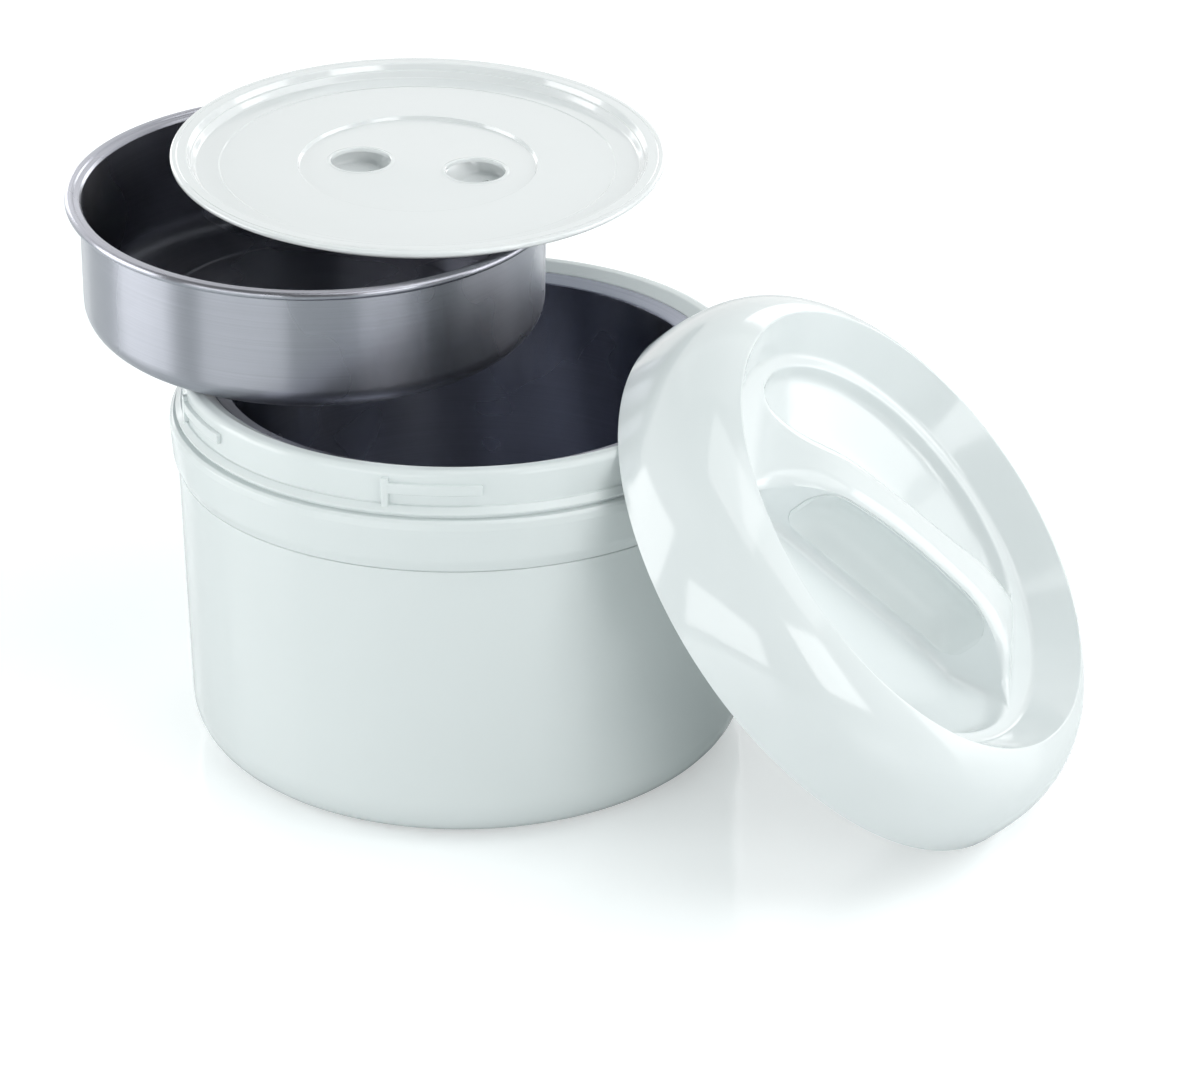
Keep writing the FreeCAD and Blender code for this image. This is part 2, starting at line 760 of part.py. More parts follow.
def grip_core():
    """Foam block inside the grip bar."""
    foot = "-well_drop - lid_wall"
    core = grip_solid(
        "grip_core",
        "grip_half_width - flank_depth - lid_wall - fit_gap",
        "(lid_wall + fit_gap)",
        "well_floor_radius + lid_wall",
        f"{foot} + lid_wall",
        foot,
    )
    core.Label = "grip_core"
    return core


def lid_lining():
    """Inner moulding of the lid, with the bayonet tabs and the seal's seat."""
    body = new_body("lid_lining")
    skirt = "lid_radius - lid_wall - bond_gap"
    foot = "-lid_height + lining_edge_step"
    inner_rib = "seal_radius - seal_half_width - fit_gap"
    outer_rib = "seal_radius + seal_half_width + fit_gap"
    rib_foot = f"{DECK_FOOT} - seal_rib_height"
    plug_floor = "-well_drop - lid_wall - fit_gap"
    bulge = "-deck_drop - lining_bulge"
    turn(body, "lid_lining_turned", [
        (skirt, foot),
        (f"{skirt} - lining_edge_step", bulge),
        (f"{skirt} - lining_lean", "-deck_drop"),
        ("plug_mouth_radius", "-deck_drop"),
        ("well_floor_radius", plug_floor),
        ("0", plug_floor),
        ("0", f"{plug_floor} - lining_wall"),
        ("well_floor_radius", f"{plug_floor} - lining_wall"),
        ("plug_mouth_radius", DECK_FOOT),
        (f"{inner_rib} - seal_rib", DECK_FOOT),
        (f"{inner_rib} - seal_rib", rib_foot),
        (inner_rib, rib_foot),
        (inner_rib, DECK_FOOT),
        (outer_rib, DECK_FOOT),
        (outer_rib, rib_foot),
        (f"{outer_rib} + seal_rib", rib_foot),
        (f"{outer_rib} + seal_rib", DECK_FOOT),
        (f"{skirt} - lining_lean - lining_wall", DECK_FOOT),
        (f"{skirt} - lining_edge_step - lining_wall", bulge),
        (f"{skirt} - lining_wall", foot),
    ])
    tab_root = f"{skirt} - lining_wall / 2"
    tab_tip = "neck_radius + tab_gap"
    tab = turn(body, "bayonet_tab", [
        (tab_tip, "-lid_height + tab_bottom"),
        (tab_root, "-lid_height + tab_bottom"),
        (tab_root, "-lid_height + tab_bottom + tab_thickness"),
        (tab_tip, "-lid_height + tab_bottom + tab_thickness"),
    ], "tab_turn", centred=True)
    doc.recompute()
    ring_pattern(body, "tabs_round_the_skirt", [tab], "lug_count")
    return body


def lid_foam():
    """Foam ring in the hollow between the lid's two mouldings."""
    inside = "well_radius + lid_foam_margin"
    skirt = "lid_radius - lid_wall - bond_gap - lining_lean - fit_gap"
    head = "-dish_drop - lid_wall - fit_gap"
    return turned_body("lid_foam", [
        (inside, "-deck_drop + bond_gap"),
        (skirt, "-deck_drop + bond_gap"),
        ("shoulder_radius - lid_foam_margin", "-shoulder_drop - lid_foam_margin"),
        ("crest_radius + lid_wall", "-crest_depth - lid_foam_margin"),
        ("dish_radius + lid_foam_margin", head),
        (inside, head),
    ])


def lid_gasket():
    """Sealing ring under the lid, which presses on the tank's rim when the pot is closed."""
    return turned_body("lid_gasket", [
        ("seal_radius - seal_half_width", "-seal_foot"),
        ("seal_radius + seal_half_width", "-seal_foot"),
        ("seal_radius + seal_half_width", f"{DECK_FOOT} - fit_gap"),
        ("seal_radius - seal_half_width", f"{DECK_FOOT} - fit_gap"),
    ])


# ---------------------------------------------------------------- how the loose pieces lie


def tilted(azimuth, tilt, spin):
    """A rotation that tips the upright axis towards an azimuth after a spin about itself."""
    swing = FreeCAD.Rotation(UP, number(azimuth)) * FreeCAD.Rotation(ACROSS, number(tilt))
    return swing * FreeCAD.Rotation(UP, spin)


def settle(shapes, support, way, pose):
    """Move the pose along the way until the shapes are the rest gap from their support.

    Each step is the gap that is left over the rate at which the last step closed it.
    """
    moving = Part.Compound([shape.copy() for shape in shapes])
    resting = Part.Compound(support)
    travel = 0.0
    step = 0.0
    last_gap = 0.0
    for _ in range(60):
        moving.Placement = FreeCAD.Placement(pose.Base + way * travel, pose.Rotation)
        gap = moving.distToShape(resting)[0] - number("rest_gap")
        if abs(gap) < 0.001:
            break
        rate = max((last_gap - gap) / step, 0.2) if step else 1.0
        step = gap / rate
        last_gap = gap
        travel += step
    return moving.Placement


def placed(item):
    """The sub-part's shape where it now lies."""
    return item.Shape.copy()


def lay_out(pot, bowl_item, plate, cups, lid):
    """Lay the bowl on the pot, the inner lid on the bowl and the outer lid against the pot."""
    start = number(f"{NECK_TOP} + lid_radius")
    spin = -number("tilt_azimuth")
    mouth = [placed(pot["neck_ring"]), placed(pot["liner_tank"])]
    away = FreeCAD.Rotation(UP, number("bowl_azimuth")).multVec(FreeCAD.Vector(number("bowl_back"), 0, 0))
    pose = FreeCAD.Placement(away + UP * start, tilted("tilt_azimuth", "bowl_tilt", spin))
    bowl_item.Placement = settle([bowl_item.Shape], mouth, UP * -1, pose)

    over = bowl_item.Placement.Base + FreeCAD.Vector(number("plate_right"), number("plate_back"), 0)
    turned = tilted("tilt_azimuth", "bowl_tilt", spin + number("finger_line_angle"))
    over.z = start
    pose = settle([plate.Shape], [placed(bowl_item)], UP * -1, FreeCAD.Placement(over, turned))
    plate.Placement = pose
    for item, sign in zip(cups, (-1, 1)):
        shift = FreeCAD.Vector(sign * number("finger_offset"), 0, 0)
        item.Placement = pose * FreeCAD.Placement(shift, FreeCAD.Rotation())

    lean = tilted("lean_azimuth", "lean_angle", number("grip_turn"))
    outward = FreeCAD.Rotation(UP, number("lean_azimuth")).multVec(FreeCAD.Vector(1, 0, 0))
    sideways = UP.cross(outward) * number("lean_offset")
    standing = lid["lid_shell"].Shape.copy()
    standing.Placement = FreeCAD.Placement(FreeCAD.Vector(), lean)
    height = -standing.optimalBoundingBox(False).ZMin
    pose = FreeCAD.Placement(outward * start + sideways + UP * height, lean)
    touching = [lid["lid_shell"].Shape, lid["lid_lining"].Shape]
    around = [placed(pot["neck_ring"]), placed(pot["shoulder_collar"])]
    pose = settle(touching, around, outward * -1, pose)
    for item in lid.values():
        item.Placement = pose * item.Placement


def main():
    """Build every sub-part, lay them out, check them and write one file for each."""
    make_sheet()
    pot = {}
    for make in (
        outer_shell, non_slip_pad, shoulder_collar, collar_seal, neck_ring,
        liner_tank, liner_gasket, wall_insulation, floor_insulation,
    ):
        pot[make.__name__] = make()
    bowl_item = bowl()
    plate = inner_lid_plate()
    cups = [finger_cup(name) for name in ("left", "right")]
    lid = {make.__name__: make() for make in (lid_shell, grip_core, lid_lining, lid_foam, lid_gasket)}
    for turned, name in enumerate(("front", "back")):
        lid[f"grip_insert_{name}"] = grip_insert(name, turned)
    doc.recompute()
    lay_out(pot, bowl_item, plate, cups, lid)
    doc.recompute()

    for item in doc.Objects:
        if {"Invalid", "Error"} & set(item.State):
            raise RuntimeError(f"{item.Name} did not recompute")
    nodes = list(pot.values()) + [bowl_item, plate] + cups + list(lid.values())
    for item in nodes:
        if item.Shape.isNull() or not item.Shape.isValid() or not item.Shape.Solids:
            raise RuntimeError(f"{item.Label} has no sound solid")
    os.makedirs("parts", exist_ok=True)
    for item in nodes:
        item.Shape.exportStep(f"parts/{item.Label}.step")
        print(f"{item.Label:20s} solids {len(item.Shape.Solids)}  volume {item.Shape.Volume / 1000:8.2f} cm3")
    for item in (bowl_item, plate, lid["lid_gasket"]):
        print(item.Label, item.Placement)


main()
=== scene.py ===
# %% [markdown]
# # An insulated yogurt maker, shown open
#
# The set has a double-walled pot, a steel bowl tipped on the pot's mouth, an inner lid pushed
# back on the bowl, and a bulging outer lid that leans against the pot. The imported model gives
# every place. This lesson builds smooth, detailed pieces around it, one cell at a time.

# %% Load the frame
import math

import bmesh
import bpy
import json
import numpy as np
from mathutils import Matrix, Vector


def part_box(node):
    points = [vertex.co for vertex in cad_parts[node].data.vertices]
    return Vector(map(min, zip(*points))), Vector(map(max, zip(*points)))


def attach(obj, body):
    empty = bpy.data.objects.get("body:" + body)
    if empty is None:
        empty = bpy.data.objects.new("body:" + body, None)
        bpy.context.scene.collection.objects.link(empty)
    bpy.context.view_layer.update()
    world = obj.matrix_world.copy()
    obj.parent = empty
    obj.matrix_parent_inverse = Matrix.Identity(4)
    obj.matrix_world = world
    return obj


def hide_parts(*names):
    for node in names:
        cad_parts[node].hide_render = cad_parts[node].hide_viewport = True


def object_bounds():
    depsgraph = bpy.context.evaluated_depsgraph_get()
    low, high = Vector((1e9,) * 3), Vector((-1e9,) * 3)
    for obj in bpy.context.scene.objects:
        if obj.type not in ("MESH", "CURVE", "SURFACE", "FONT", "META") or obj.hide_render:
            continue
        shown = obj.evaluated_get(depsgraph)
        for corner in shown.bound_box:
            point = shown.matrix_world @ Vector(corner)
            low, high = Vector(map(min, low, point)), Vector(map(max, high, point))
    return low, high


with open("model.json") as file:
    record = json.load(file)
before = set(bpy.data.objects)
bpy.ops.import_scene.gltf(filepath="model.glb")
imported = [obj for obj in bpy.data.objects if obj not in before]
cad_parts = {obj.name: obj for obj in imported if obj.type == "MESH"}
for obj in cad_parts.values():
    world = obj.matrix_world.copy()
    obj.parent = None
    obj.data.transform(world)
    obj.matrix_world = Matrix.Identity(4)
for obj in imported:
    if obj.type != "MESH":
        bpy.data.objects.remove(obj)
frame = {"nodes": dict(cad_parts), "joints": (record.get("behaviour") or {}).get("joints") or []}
cad_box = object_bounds()

# %% [markdown]
# Sizes are easier to read in millimetres, so outlines are written in them and turned into
# metres when a mesh is made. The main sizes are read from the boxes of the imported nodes, so
# that the pieces here follow the model when it changes.

# %% Main sizes in millimetres
MM = 0.001


def high(node):
    """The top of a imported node, in millimetres."""
    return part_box(node)[1].z / MM


def low(node):
    """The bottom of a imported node, in millimetres."""
    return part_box(node)[0].z / MM


def reach(node):
    """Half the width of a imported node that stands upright, in millimetres."""
    return (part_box(node)[1].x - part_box(node)[0].x) / 2 / MM


SEAM_RADIUS = reach("outer_shell")
SEAM = high("outer_shell")
COLLAR_RADIUS = reach("shoulder_collar")
COLLAR_TOP = high("shoulder_collar")
FLANGE_RADIUS = reach("neck_ring")
NECK_TOP = high("neck_ring")
PAD_RADIUS = reach("non_slip_pad")
PAD_TOP = high("non_slip_pad")
TANK_FOOT = low("liner_tank")
TANK_RIM = high("liner_tank")
MOUTH_RADIUS = reach("liner_tank")
print(f"seam {SEAM_RADIUS:.1f} at {SEAM:.1f}, neck top {NECK_TOP:.1f}, mouth {MOUTH_RADIUS:.1f}")

# %% [markdown]
# The bowl and the inner lid lie tipped, and the outer lid leans. The lean's axis is the axis of
# the lid's twist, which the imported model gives. The two loose pieces are tipped by the same small
# angle, and their places follow from the boxes of their nodes: the widest part of each is its
# rounded rim, so the middle of the box is the middle of that rim.

# %% Where the loose pieces lie
TIP_AZIMUTH = math.radians(-70.0)
TIP_ANGLE = math.radians(3.44)
FINGER_LINE = math.radians(-12.6)
GRIP_TURN = math.radians(112.5)


def tipped(azimuth, angle, spin):
    """A rotation that spins about the upright axis and then tips it towards an azimuth."""
    swing = Matrix.Rotation(azimuth, 4, "Z") @ Matrix.Rotation(angle, 4, "Y")
    return swing @ Matrix.Rotation(spin, 4, "Z")


def from_rim(node, rim_radius, tube, spin):
    """The pose of a tipped piece whose rim is a round tube, from the box of its node."""
    turn = tipped(TIP_AZIMUTH, TIP_ANGLE, spin - TIP_AZIMUTH)
    axis = turn.to_3x3() @ Vector((0, 0, 1))
    lowest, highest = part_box(node)
    middle = (lowest + highest) / 2
    tube_ring = (rim_radius - tube) * MM * math.sin(TIP_ANGLE)
    top = highest.z - tube_ring - tube * MM + tube * MM * math.cos(TIP_ANGLE)
    place = Vector((middle.x + axis.x * tube * MM, middle.y + axis.y * tube * MM, top))
    return Matrix.Translation(place) @ turn


BEAD_RADIUS, BEAD_TUBE = 89.6, 1.5
FLANGE_EDGE_RADIUS, FLANGE_TUBE = 90.4, 1.15
BOWL_POSE = from_rim("bowl", BEAD_RADIUS, BEAD_TUBE, 0.0)
PLATE_POSE = from_rim("inner_lid_plate", FLANGE_EDGE_RADIUS, FLANGE_TUBE, FINGER_LINE)

twist = next(joint for joint in frame["joints"] if joint["name"] == "lid_twist")
lean_axis = Vector(twist["axis"]).normalized()
LEAN = tipped(math.atan2(lean_axis.y, lean_axis.x), math.acos(lean_axis.z), GRIP_TURN)
LID_POSE = Matrix.Translation(Vector(twist["pos_m"])) @ LEAN
print("bowl at", tuple(round(v, 4) for v in BOWL_POSE.translation))
print("inner lid at", tuple(round(v, 4) for v in PLATE_POSE.translation))
print("outer lid at", tuple(round(v, 4) for v in LID_POSE.translation))

# %% [markdown]
# Nearly every piece here is a body of revolution, as most moulded and deep-drawn kitchenware
# is. A real designer draws its section and turns it. The next helper draws a section whose
# corners are rounded like a real moulding's, with points held close to each corner so that the
# shading of the long faces stays clean.

# %% Draw a rounded section
ARC_STEP = math.radians(9)
STRAIGHT = math.radians(89.5)
SIDE_SHARE = 0.49
HOLD = 0.25
LONGEST = 5.0


def corner_arc(before, corner, after, radius):
    """Points of the arc that rounds a corner."""
    before, corner, after = (np.array(p[:2], float) for p in (before, corner, after))
    a, b = before - corner, after - corner
    la, lb = np.linalg.norm(a), np.linalg.norm(b)
    a, b = a / la, b / lb
    half = math.acos(max(-1.0, min(1.0, float(a @ b)))) / 2
    if half > STRAIGHT:
        return [tuple(corner)]
    tangent = min(radius / math.tan(half), SIDE_SHARE * la, SIDE_SHARE * lb)
    radius = tangent * math.tan(half)
    middle = corner + (a + b) / np.linalg.norm(a + b) * radius / math.sin(half)
    first, last = corner + a * tangent - middle, corner + b * tangent - middle
    sweep = math.pi - 2 * half
    turn = math.copysign(sweep, first[0] * last[1] - first[1] * last[0])
    count = max(2, math.ceil(sweep / ARC_STEP))
    points = []
    for k in range(count + 1):
        angle = turn * k / count
        c, s = math.cos(angle), math.sin(angle)
        points.append(tuple(middle + (c * first[0] - s * first[1], s * first[0] + c * first[1])))
    return points


def section(corners, closed=False):
    """An outline of (radius, height, rounding) corners as points, with long sides divided."""
    count = len(corners)
    rounded = []
    for k, corner in enumerate(corners):
        radius = corner[2] if len(corner) > 2 else 0
        ends = not closed and k in (0, count - 1)
        if radius and not ends:
            arc = corner_arc(corners[k - 1], corner, corners[(k + 1) % count], radius)
        else:
            arc = [corner[:2]]
        rounded.append(arc)
    points = []
    for k, arc in enumerate(rounded):
        points += arc
        if not closed and k == count - 1:
            break
        start, end = np.array(arc[-1]), np.array(rounded[(k + 1) % count][0])
        length = np.linalg.norm(end - start)
        if length > 4 * HOLD:
            parts = max(1, math.ceil((length - 2 * HOLD) / LONGEST))
            hold = HOLD / length
            stops = [hold + (1 - 2 * hold) * n / parts for n in range(parts + 1)]
            points += [tuple(start + (end - start) * t) for t in stops]
    return points


square = [(0, 0, 1), (9, 0, 1), (9, 9, 1), (0, 9, 1)]
print("a rounded square has", len(section(square, closed=True)), "points")

# %% [markdown]
# Node trees shape the turned and repeated pieces, and node trees make the finishes. Three
# helpers keep them short to write: one makes a group with named inputs and outputs, one fills
# a node's inputs with values or links, and one adds a node and fills it.

# %% Helpers for node trees


def node_group(kind, name, inputs, outputs):
    """A node group with named inputs and outputs, and the nodes at its two ends."""
    group = bpy.data.node_groups.new(name, kind)
    for label, socket_type, value in inputs:
        socket = group.interface.new_socket(label, in_out="INPUT", socket_type=socket_type)
        if value is not None:
            socket.default_value = value
    for label, socket_type in outputs:
        group.interface.new_socket(label, in_out="OUTPUT", socket_type=socket_type)
    return group, group.nodes.new("NodeGroupInput"), group.nodes.new("NodeGroupOutput")


def fill_inputs(tree, node, values):
    """Links the output sockets among the values to a node's inputs, and stores the others."""
    for label, content in values.items():
        if hasattr(content, "links"):
            tree.links.new(content, node.inputs[label])
        else:
            node.inputs[label].default_value = content


def add_node(tree, kind, values=None, **settings):
    """A node with its settings, and with its inputs filled."""
    node = tree.nodes.new(kind)
    for label, content in settings.items():
        setattr(node, label, content)
    fill_inputs(tree, node, values or {})
    return node


print("helpers:", node_group.__name__, fill_inputs.__name__, add_node.__name__)

# %% [markdown]
# Turning a section is a rule, so Geometry Nodes do it. The section is a curve that is swept
# round a circle. The length along the section is stored as an attribute, "along", because
# brushed lines and drawing marks follow it. Points that meet on the axis are merged, which
# closes the poles.

# %% Geometry Nodes: turn a section
PATH_RADIUS = 0.05
SEGMENTS = 256
WELD = 2e-6


def end_tree(tree, given, result, geometry):
    """Makes a tree's copies real and gives them their material."""
    real = add_node(tree, "GeometryNodeRealizeInstances", {"Geometry": geometry})
    paint = add_node(tree, "GeometryNodeSetMaterial", {
        "Geometry": real.outputs["Geometry"],
        "Material": given.outputs["Material"],
    })
    fill_inputs(tree, result, {"Geometry": paint.outputs["Geometry"]})


def turning_tree():
    """Sweeps the section round a circle and merges the points on the axis."""
    tree, given, result = node_group("GeometryNodeTree", "Turn a section", [
        ("Geometry", "NodeSocketGeometry", None),
        ("Segments", "NodeSocketInt", SEGMENTS),
        ("Path Radius", "NodeSocketFloat", PATH_RADIUS),
        ("Material", "NodeSocketMaterial", None),
    ], [("Geometry", "NodeSocketGeometry")])
    curve = add_node(tree, "GeometryNodeMeshToCurve", {"Mesh": given.outputs["Geometry"]})
    along = add_node(tree, "GeometryNodeSplineParameter")
    store = add_node(tree, "GeometryNodeStoreNamedAttribute", {
        "Geometry": curve.outputs["Curve"],
        "Name": "along",
        "Value": along.outputs["Length"],
    }, data_type="FLOAT", domain="POINT")
    path = add_node(tree, "GeometryNodeCurvePrimitiveCircle", {
        "Resolution": given.outputs["Segments"],
        "Radius": given.outputs["Path Radius"],
    })
    sweep = add_node(tree, "GeometryNodeCurveToMesh", {
        "Curve": path.outputs["Curve"],
        "Profile Curve": store.outputs["Geometry"],
    })
    merge = add_node(tree, "GeometryNodeMergeByDistance", {
        "Geometry": sweep.outputs["Mesh"],
        "Distance": WELD,
    })
    end_tree(tree, given, result, merge.outputs["Geometry"])
    return tree


TURN = turning_tree()
print("tree", TURN.name, "has", len(TURN.nodes), "nodes")

# %% [markdown]
# A tree's result becomes a plain mesh, so that the finished piece carries no live modifier. Its
# faces are pointed outwards, sharp edges are marked by angle, and its place goes into the mesh,
# which leaves the object itself at the origin.

# %% From a tree to a finished piece
SHARP = math.radians(38)


def add_object(name, data):
    """An object in the scene for a mesh, a lamp or a camera."""
    piece = bpy.data.objects.new(name, data)
    bpy.context.scene.collection.objects.link(piece)
    return piece


def mesh_from(work, name, material=None):
    """A new mesh made from an edit mesh, which is then freed."""
    mesh = bpy.data.meshes.new(name)
    work.to_mesh(mesh)
    work.free()
    if material is not None:
        mesh.materials.append(material)
    return mesh


def applied(piece):
    """The plain mesh of an object under its modifiers, which are then removed."""
    graph = bpy.context.evaluated_depsgraph_get()
    mesh = bpy.data.meshes.new_from_object(piece.evaluated_get(graph))
    piece.modifiers.clear()
    return mesh


def run_tree(name, tree, source, values):
    """Runs a tree on a source object and returns its result as a new plain mesh."""
    modifier = source.modifiers.new(tree.name, "NODES")
    modifier.node_group = tree
    for item in tree.interface.items_tree:
        if item.item_type == "SOCKET" and item.in_out == "INPUT" and item.name in values:
            modifier[item.identifier] = values[item.name]
    mesh = applied(source)
    mesh.name = name
    bpy.data.objects.remove(source)
    return mesh


def finish_mesh(mesh, pose=None, recalculate=True):
    """Points faces outwards, marks sharp edges and moves the mesh to its place."""
    work = bmesh.new()
    work.from_mesh(mesh)
    bmesh.ops.remove_doubles(work, verts=work.verts, dist=WELD)
    if recalculate:
        bmesh.ops.recalc_face_normals(work, faces=work.faces)
    work.to_mesh(mesh)
    work.free()
    mesh.shade_smooth()
    mesh.set_sharp_from_angle(angle=SHARP)
    if pose is not None:
        mesh.transform(pose)
    mesh.update()
    return mesh


def swept(name, points, material, pose=None, closed=False, segments=SEGMENTS):
    """A piece that is an outline, in millimetres, turned about its own axis."""
    places = [(r * MM - PATH_RADIUS, -z * MM, 0) for r, z in points]
    sides = [(k, k + 1) for k in range(len(places) - 1)]
    if closed:
        sides.append((len(places) - 1, 0))
    outline = bpy.data.meshes.new(name + "_section")
    outline.from_pydata(places, sides, [])
    source = add_object(name + "_source", outline)
    values = {"Segments": segments, "Path Radius": PATH_RADIUS, "Material": material}
    mesh = finish_mesh(run_tree(name, TURN, source, values), pose)
    print(f"{name}: {len(mesh.vertices)} points, {len(mesh.polygons)} faces")
    return add_object(name, mesh)


def turned(name, corners, material, pose=None, closed=False, segments=SEGMENTS):
    """A turned piece whose outline is given by its corners and their rounding."""
    return swept(name, section(corners, closed), material, pose, closed, segments)


# %% [markdown]
# ## Finishes
#
# Moulded plastic is never perfectly flat: it has a very slight ripple that bends reflections,
# and its gloss varies a little where hands have touched it. Several materials need the same
# effect, so it is a shader node group that puts out a tone, a roughness and a height.

# %% Shader group: moulded skin
FINISH_OUTPUTS = [
    ("Colour", "NodeSocketColor"),
    ("Roughness", "NodeSocketFloat"),
    ("Height", "NodeSocketFloat"),
]
CLOUDS, MARKS, RIPPLES, GRAIN = 14.0, 55.0, 70.0, 1500.0
GRAIN_HEIGHT = 0.02


def noise(tree, vector, scale, detail=2.0, roughness=0.5):
    """A noise texture on a vector."""
    return add_node(tree, "ShaderNodeTexNoise", {
        "Vector": vector, "Scale": scale, "Detail": detail, "Roughness": roughness,
    }).outputs["Fac"]


def spread(tree, value, low_end, high_end, start=0.0, end=1.0):
    """Maps a value from one range to another, clamped."""
    return add_node(tree, "ShaderNodeMapRange", {
        "Value": value, "From Min": start, "From Max": end, "To Min": low_end, "To Max": high_end,
    }).outputs["Result"]


def combine(tree, operation, first, second):
    """A math node on two values or sockets."""
    node = add_node(tree, "ShaderNodeMath", {0: first, 1: second}, operation=operation)
    return node.outputs["Value"]


def mixed(tree, factor, first, second, data_type="FLOAT", blend_type="MIX"):
    """A mix node on two numbers or two colours."""
    return add_node(tree, "ShaderNodeMix", {
        "Factor": factor, "A": first, "B": second,
    }, data_type=data_type, blend_type=blend_type).outputs["Result"]


def shaded(tree, colour, shade):
    """A colour darkened by a shade."""
    return mixed(tree, 1.0, colour, shade, "RGBA", "MULTIPLY")


def moulded_skin():
    """Ripple, speckle and handling marks of a moulded plastic skin."""
    group, given, result = node_group("ShaderNodeTree", "Moulded skin", [
        ("Vector", "NodeSocketVector", None),
        ("Colour", "NodeSocketColor", (0.8, 0.8, 0.8, 1)),
        ("Gloss", "NodeSocketFloat", 0.1),
        ("Handling", "NodeSocketFloat", 0.05),
        ("Ripple", "NodeSocketFloat", 0.5),
    ], FINISH_OUTPUTS)
    vector = given.outputs["Vector"]
    clouds = noise(group, vector, CLOUDS, 3.0)
    marks = noise(group, vector, MARKS, 5.0, 0.65)
    ripple = noise(group, vector, RIPPLES, 1.0)
    grain = noise(group, vector, GRAIN, 2.0)
    shade = spread(group, clouds, 0.985, 1.0, 0.3, 0.7)
    touched = spread(group, marks, 0.0, 1.0, 0.45, 0.75)
    wear = combine(group, "MULTIPLY", touched, given.outputs["Handling"])
    height = combine(group, "MULTIPLY", ripple, given.outputs["Ripple"])
    fine = combine(group, "MULTIPLY", grain, GRAIN_HEIGHT)
    fill_inputs(group, result, {
        "Colour": shaded(group, given.outputs["Colour"], shade),
        "Roughness": combine(group, "ADD", given.outputs["Gloss"], wear),
        "Height": combine(group, "ADD", height, fine),
    })
    return group


def outputs_of(group):
    """The names of a group's outputs."""
    return [socket.name for socket in group.interface.items_tree if socket.in_out == "OUTPUT"]


SKIN = moulded_skin()
print("group", SKIN.name, "puts out", outputs_of(SKIN))

# %% [markdown]
# Steel that was spun and brushed has fine lines that run round it. They follow the length along
# the section, which the turning tree stored. The group draws them as a noise that is stretched
# round the piece. It darkens the metal along them, and lets its roughness drift a little.

# %% Shader group: brushed lines
AROUND_SCALE = 9.0
DRIFT = 18.0


def brushed_lines():
    """Fine lines that follow the section of a turned steel piece."""
    group, given, result = node_group("ShaderNodeTree", "Brushed lines", [
        ("Along", "NodeSocketFloat", 0.0),
        ("Around", "NodeSocketVector", None),
        ("Colour", "NodeSocketColor", (0.5, 0.5, 0.5, 1)),
        ("Gloss", "NodeSocketFloat", 0.2),
        ("Contrast", "NodeSocketFloat", 0.1),
        ("Line Scale", "NodeSocketFloat", 2400.0),
    ], FINISH_OUTPUTS)
    squeeze = add_node(group, "ShaderNodeVectorMath", {
        0: given.outputs["Around"], 1: (AROUND_SCALE, AROUND_SCALE, 0.0),
    }, operation="MULTIPLY")
    lift = add_node(group, "ShaderNodeCombineXYZ", {
        "Z": combine(group, "MULTIPLY", given.outputs["Along"], given.outputs["Line Scale"]),
    })
    place = add_node(group, "ShaderNodeVectorMath", {
        0: squeeze.outputs["Vector"], 1: lift.outputs["Vector"],
    }, operation="ADD")
    lines = noise(group, place.outputs["Vector"], 1.0, 4.0, 0.7)
    drift = noise(group, given.outputs["Around"], DRIFT, 2.0)
    dark = combine(group, "SUBTRACT", 1.0, given.outputs["Contrast"])
    shade = spread(group, lines, dark, 1.0, 0.3, 0.7)
    change = spread(group, drift, -0.03, 0.03, 0.3, 0.7)
    fill_inputs(group, result, {
        "Colour": shaded(group, given.outputs["Colour"], shade),
        "Roughness": combine(group, "ADD", given.outputs["Gloss"], change),
        "Height": lines,
    })
    return group


BRUSH = brushed_lines()
print("group", BRUSH.name, "puts out", outputs_of(BRUSH))

# %% [markdown]
# Plastics and steels place a group with their own values; each material keeps its Principled BSDF.
# Values that are the same all over, such as the coat or the specular level, are set straight on
# the shader's sockets.

# %% Materials
COAT_ROUGHNESS = 0.07
SKIN_RELIEF = 0.00012
STEEL_RELIEF = 0.00001
FOAM_RELIEF = 0.0006
STEEL_GLOSS = 0.27
STEEL_CONTRAST = 0.14
STEEL_LINES = 2600.0
STEEL_STRETCH = 0.9
QUARTER_TURN = 0.25
FOAM_CELLS = 450.0


def new_material(name):
    """A node material with its tree, its shader and the place on the piece."""
    material = bpy.data.materials.new(name)
    material.use_nodes = True
    tree = material.node_tree
    where = add_node(tree, "ShaderNodeTexCoord").outputs["Object"]
    return material, tree, tree.nodes["Principled BSDF"], where


def bump(tree, height, distance, strength=1.0):
    """The normal of a Bump node whose Height is a texture."""
    return add_node(tree, "ShaderNodeBump", {
        "Height": height, "Distance": distance, "Strength": strength,
    }).outputs["Normal"]


def plastic(name, colour, gloss, handling, ripple, coat=0.0, specular=0.5, relief=SKIN_RELIEF):
    """A moulded plastic or rubber."""
    material, tree, shader, where = new_material(name)
    skin = add_node(tree, "ShaderNodeGroup", {
        "Vector": where,
        "Colour": (*colour, 1),
        "Gloss": gloss,
        "Handling": handling,
        "Ripple": ripple,
    }, node_tree=SKIN)
    fill_inputs(tree, shader, {
        "Base Color": skin.outputs["Colour"],
        "Roughness": skin.outputs["Roughness"],
        "Specular IOR Level": specular,
        "Coat Weight": coat,
        "Coat Roughness": COAT_ROUGHNESS,
        "Normal": bump(tree, skin.outputs["Height"], relief),
    })
    return material


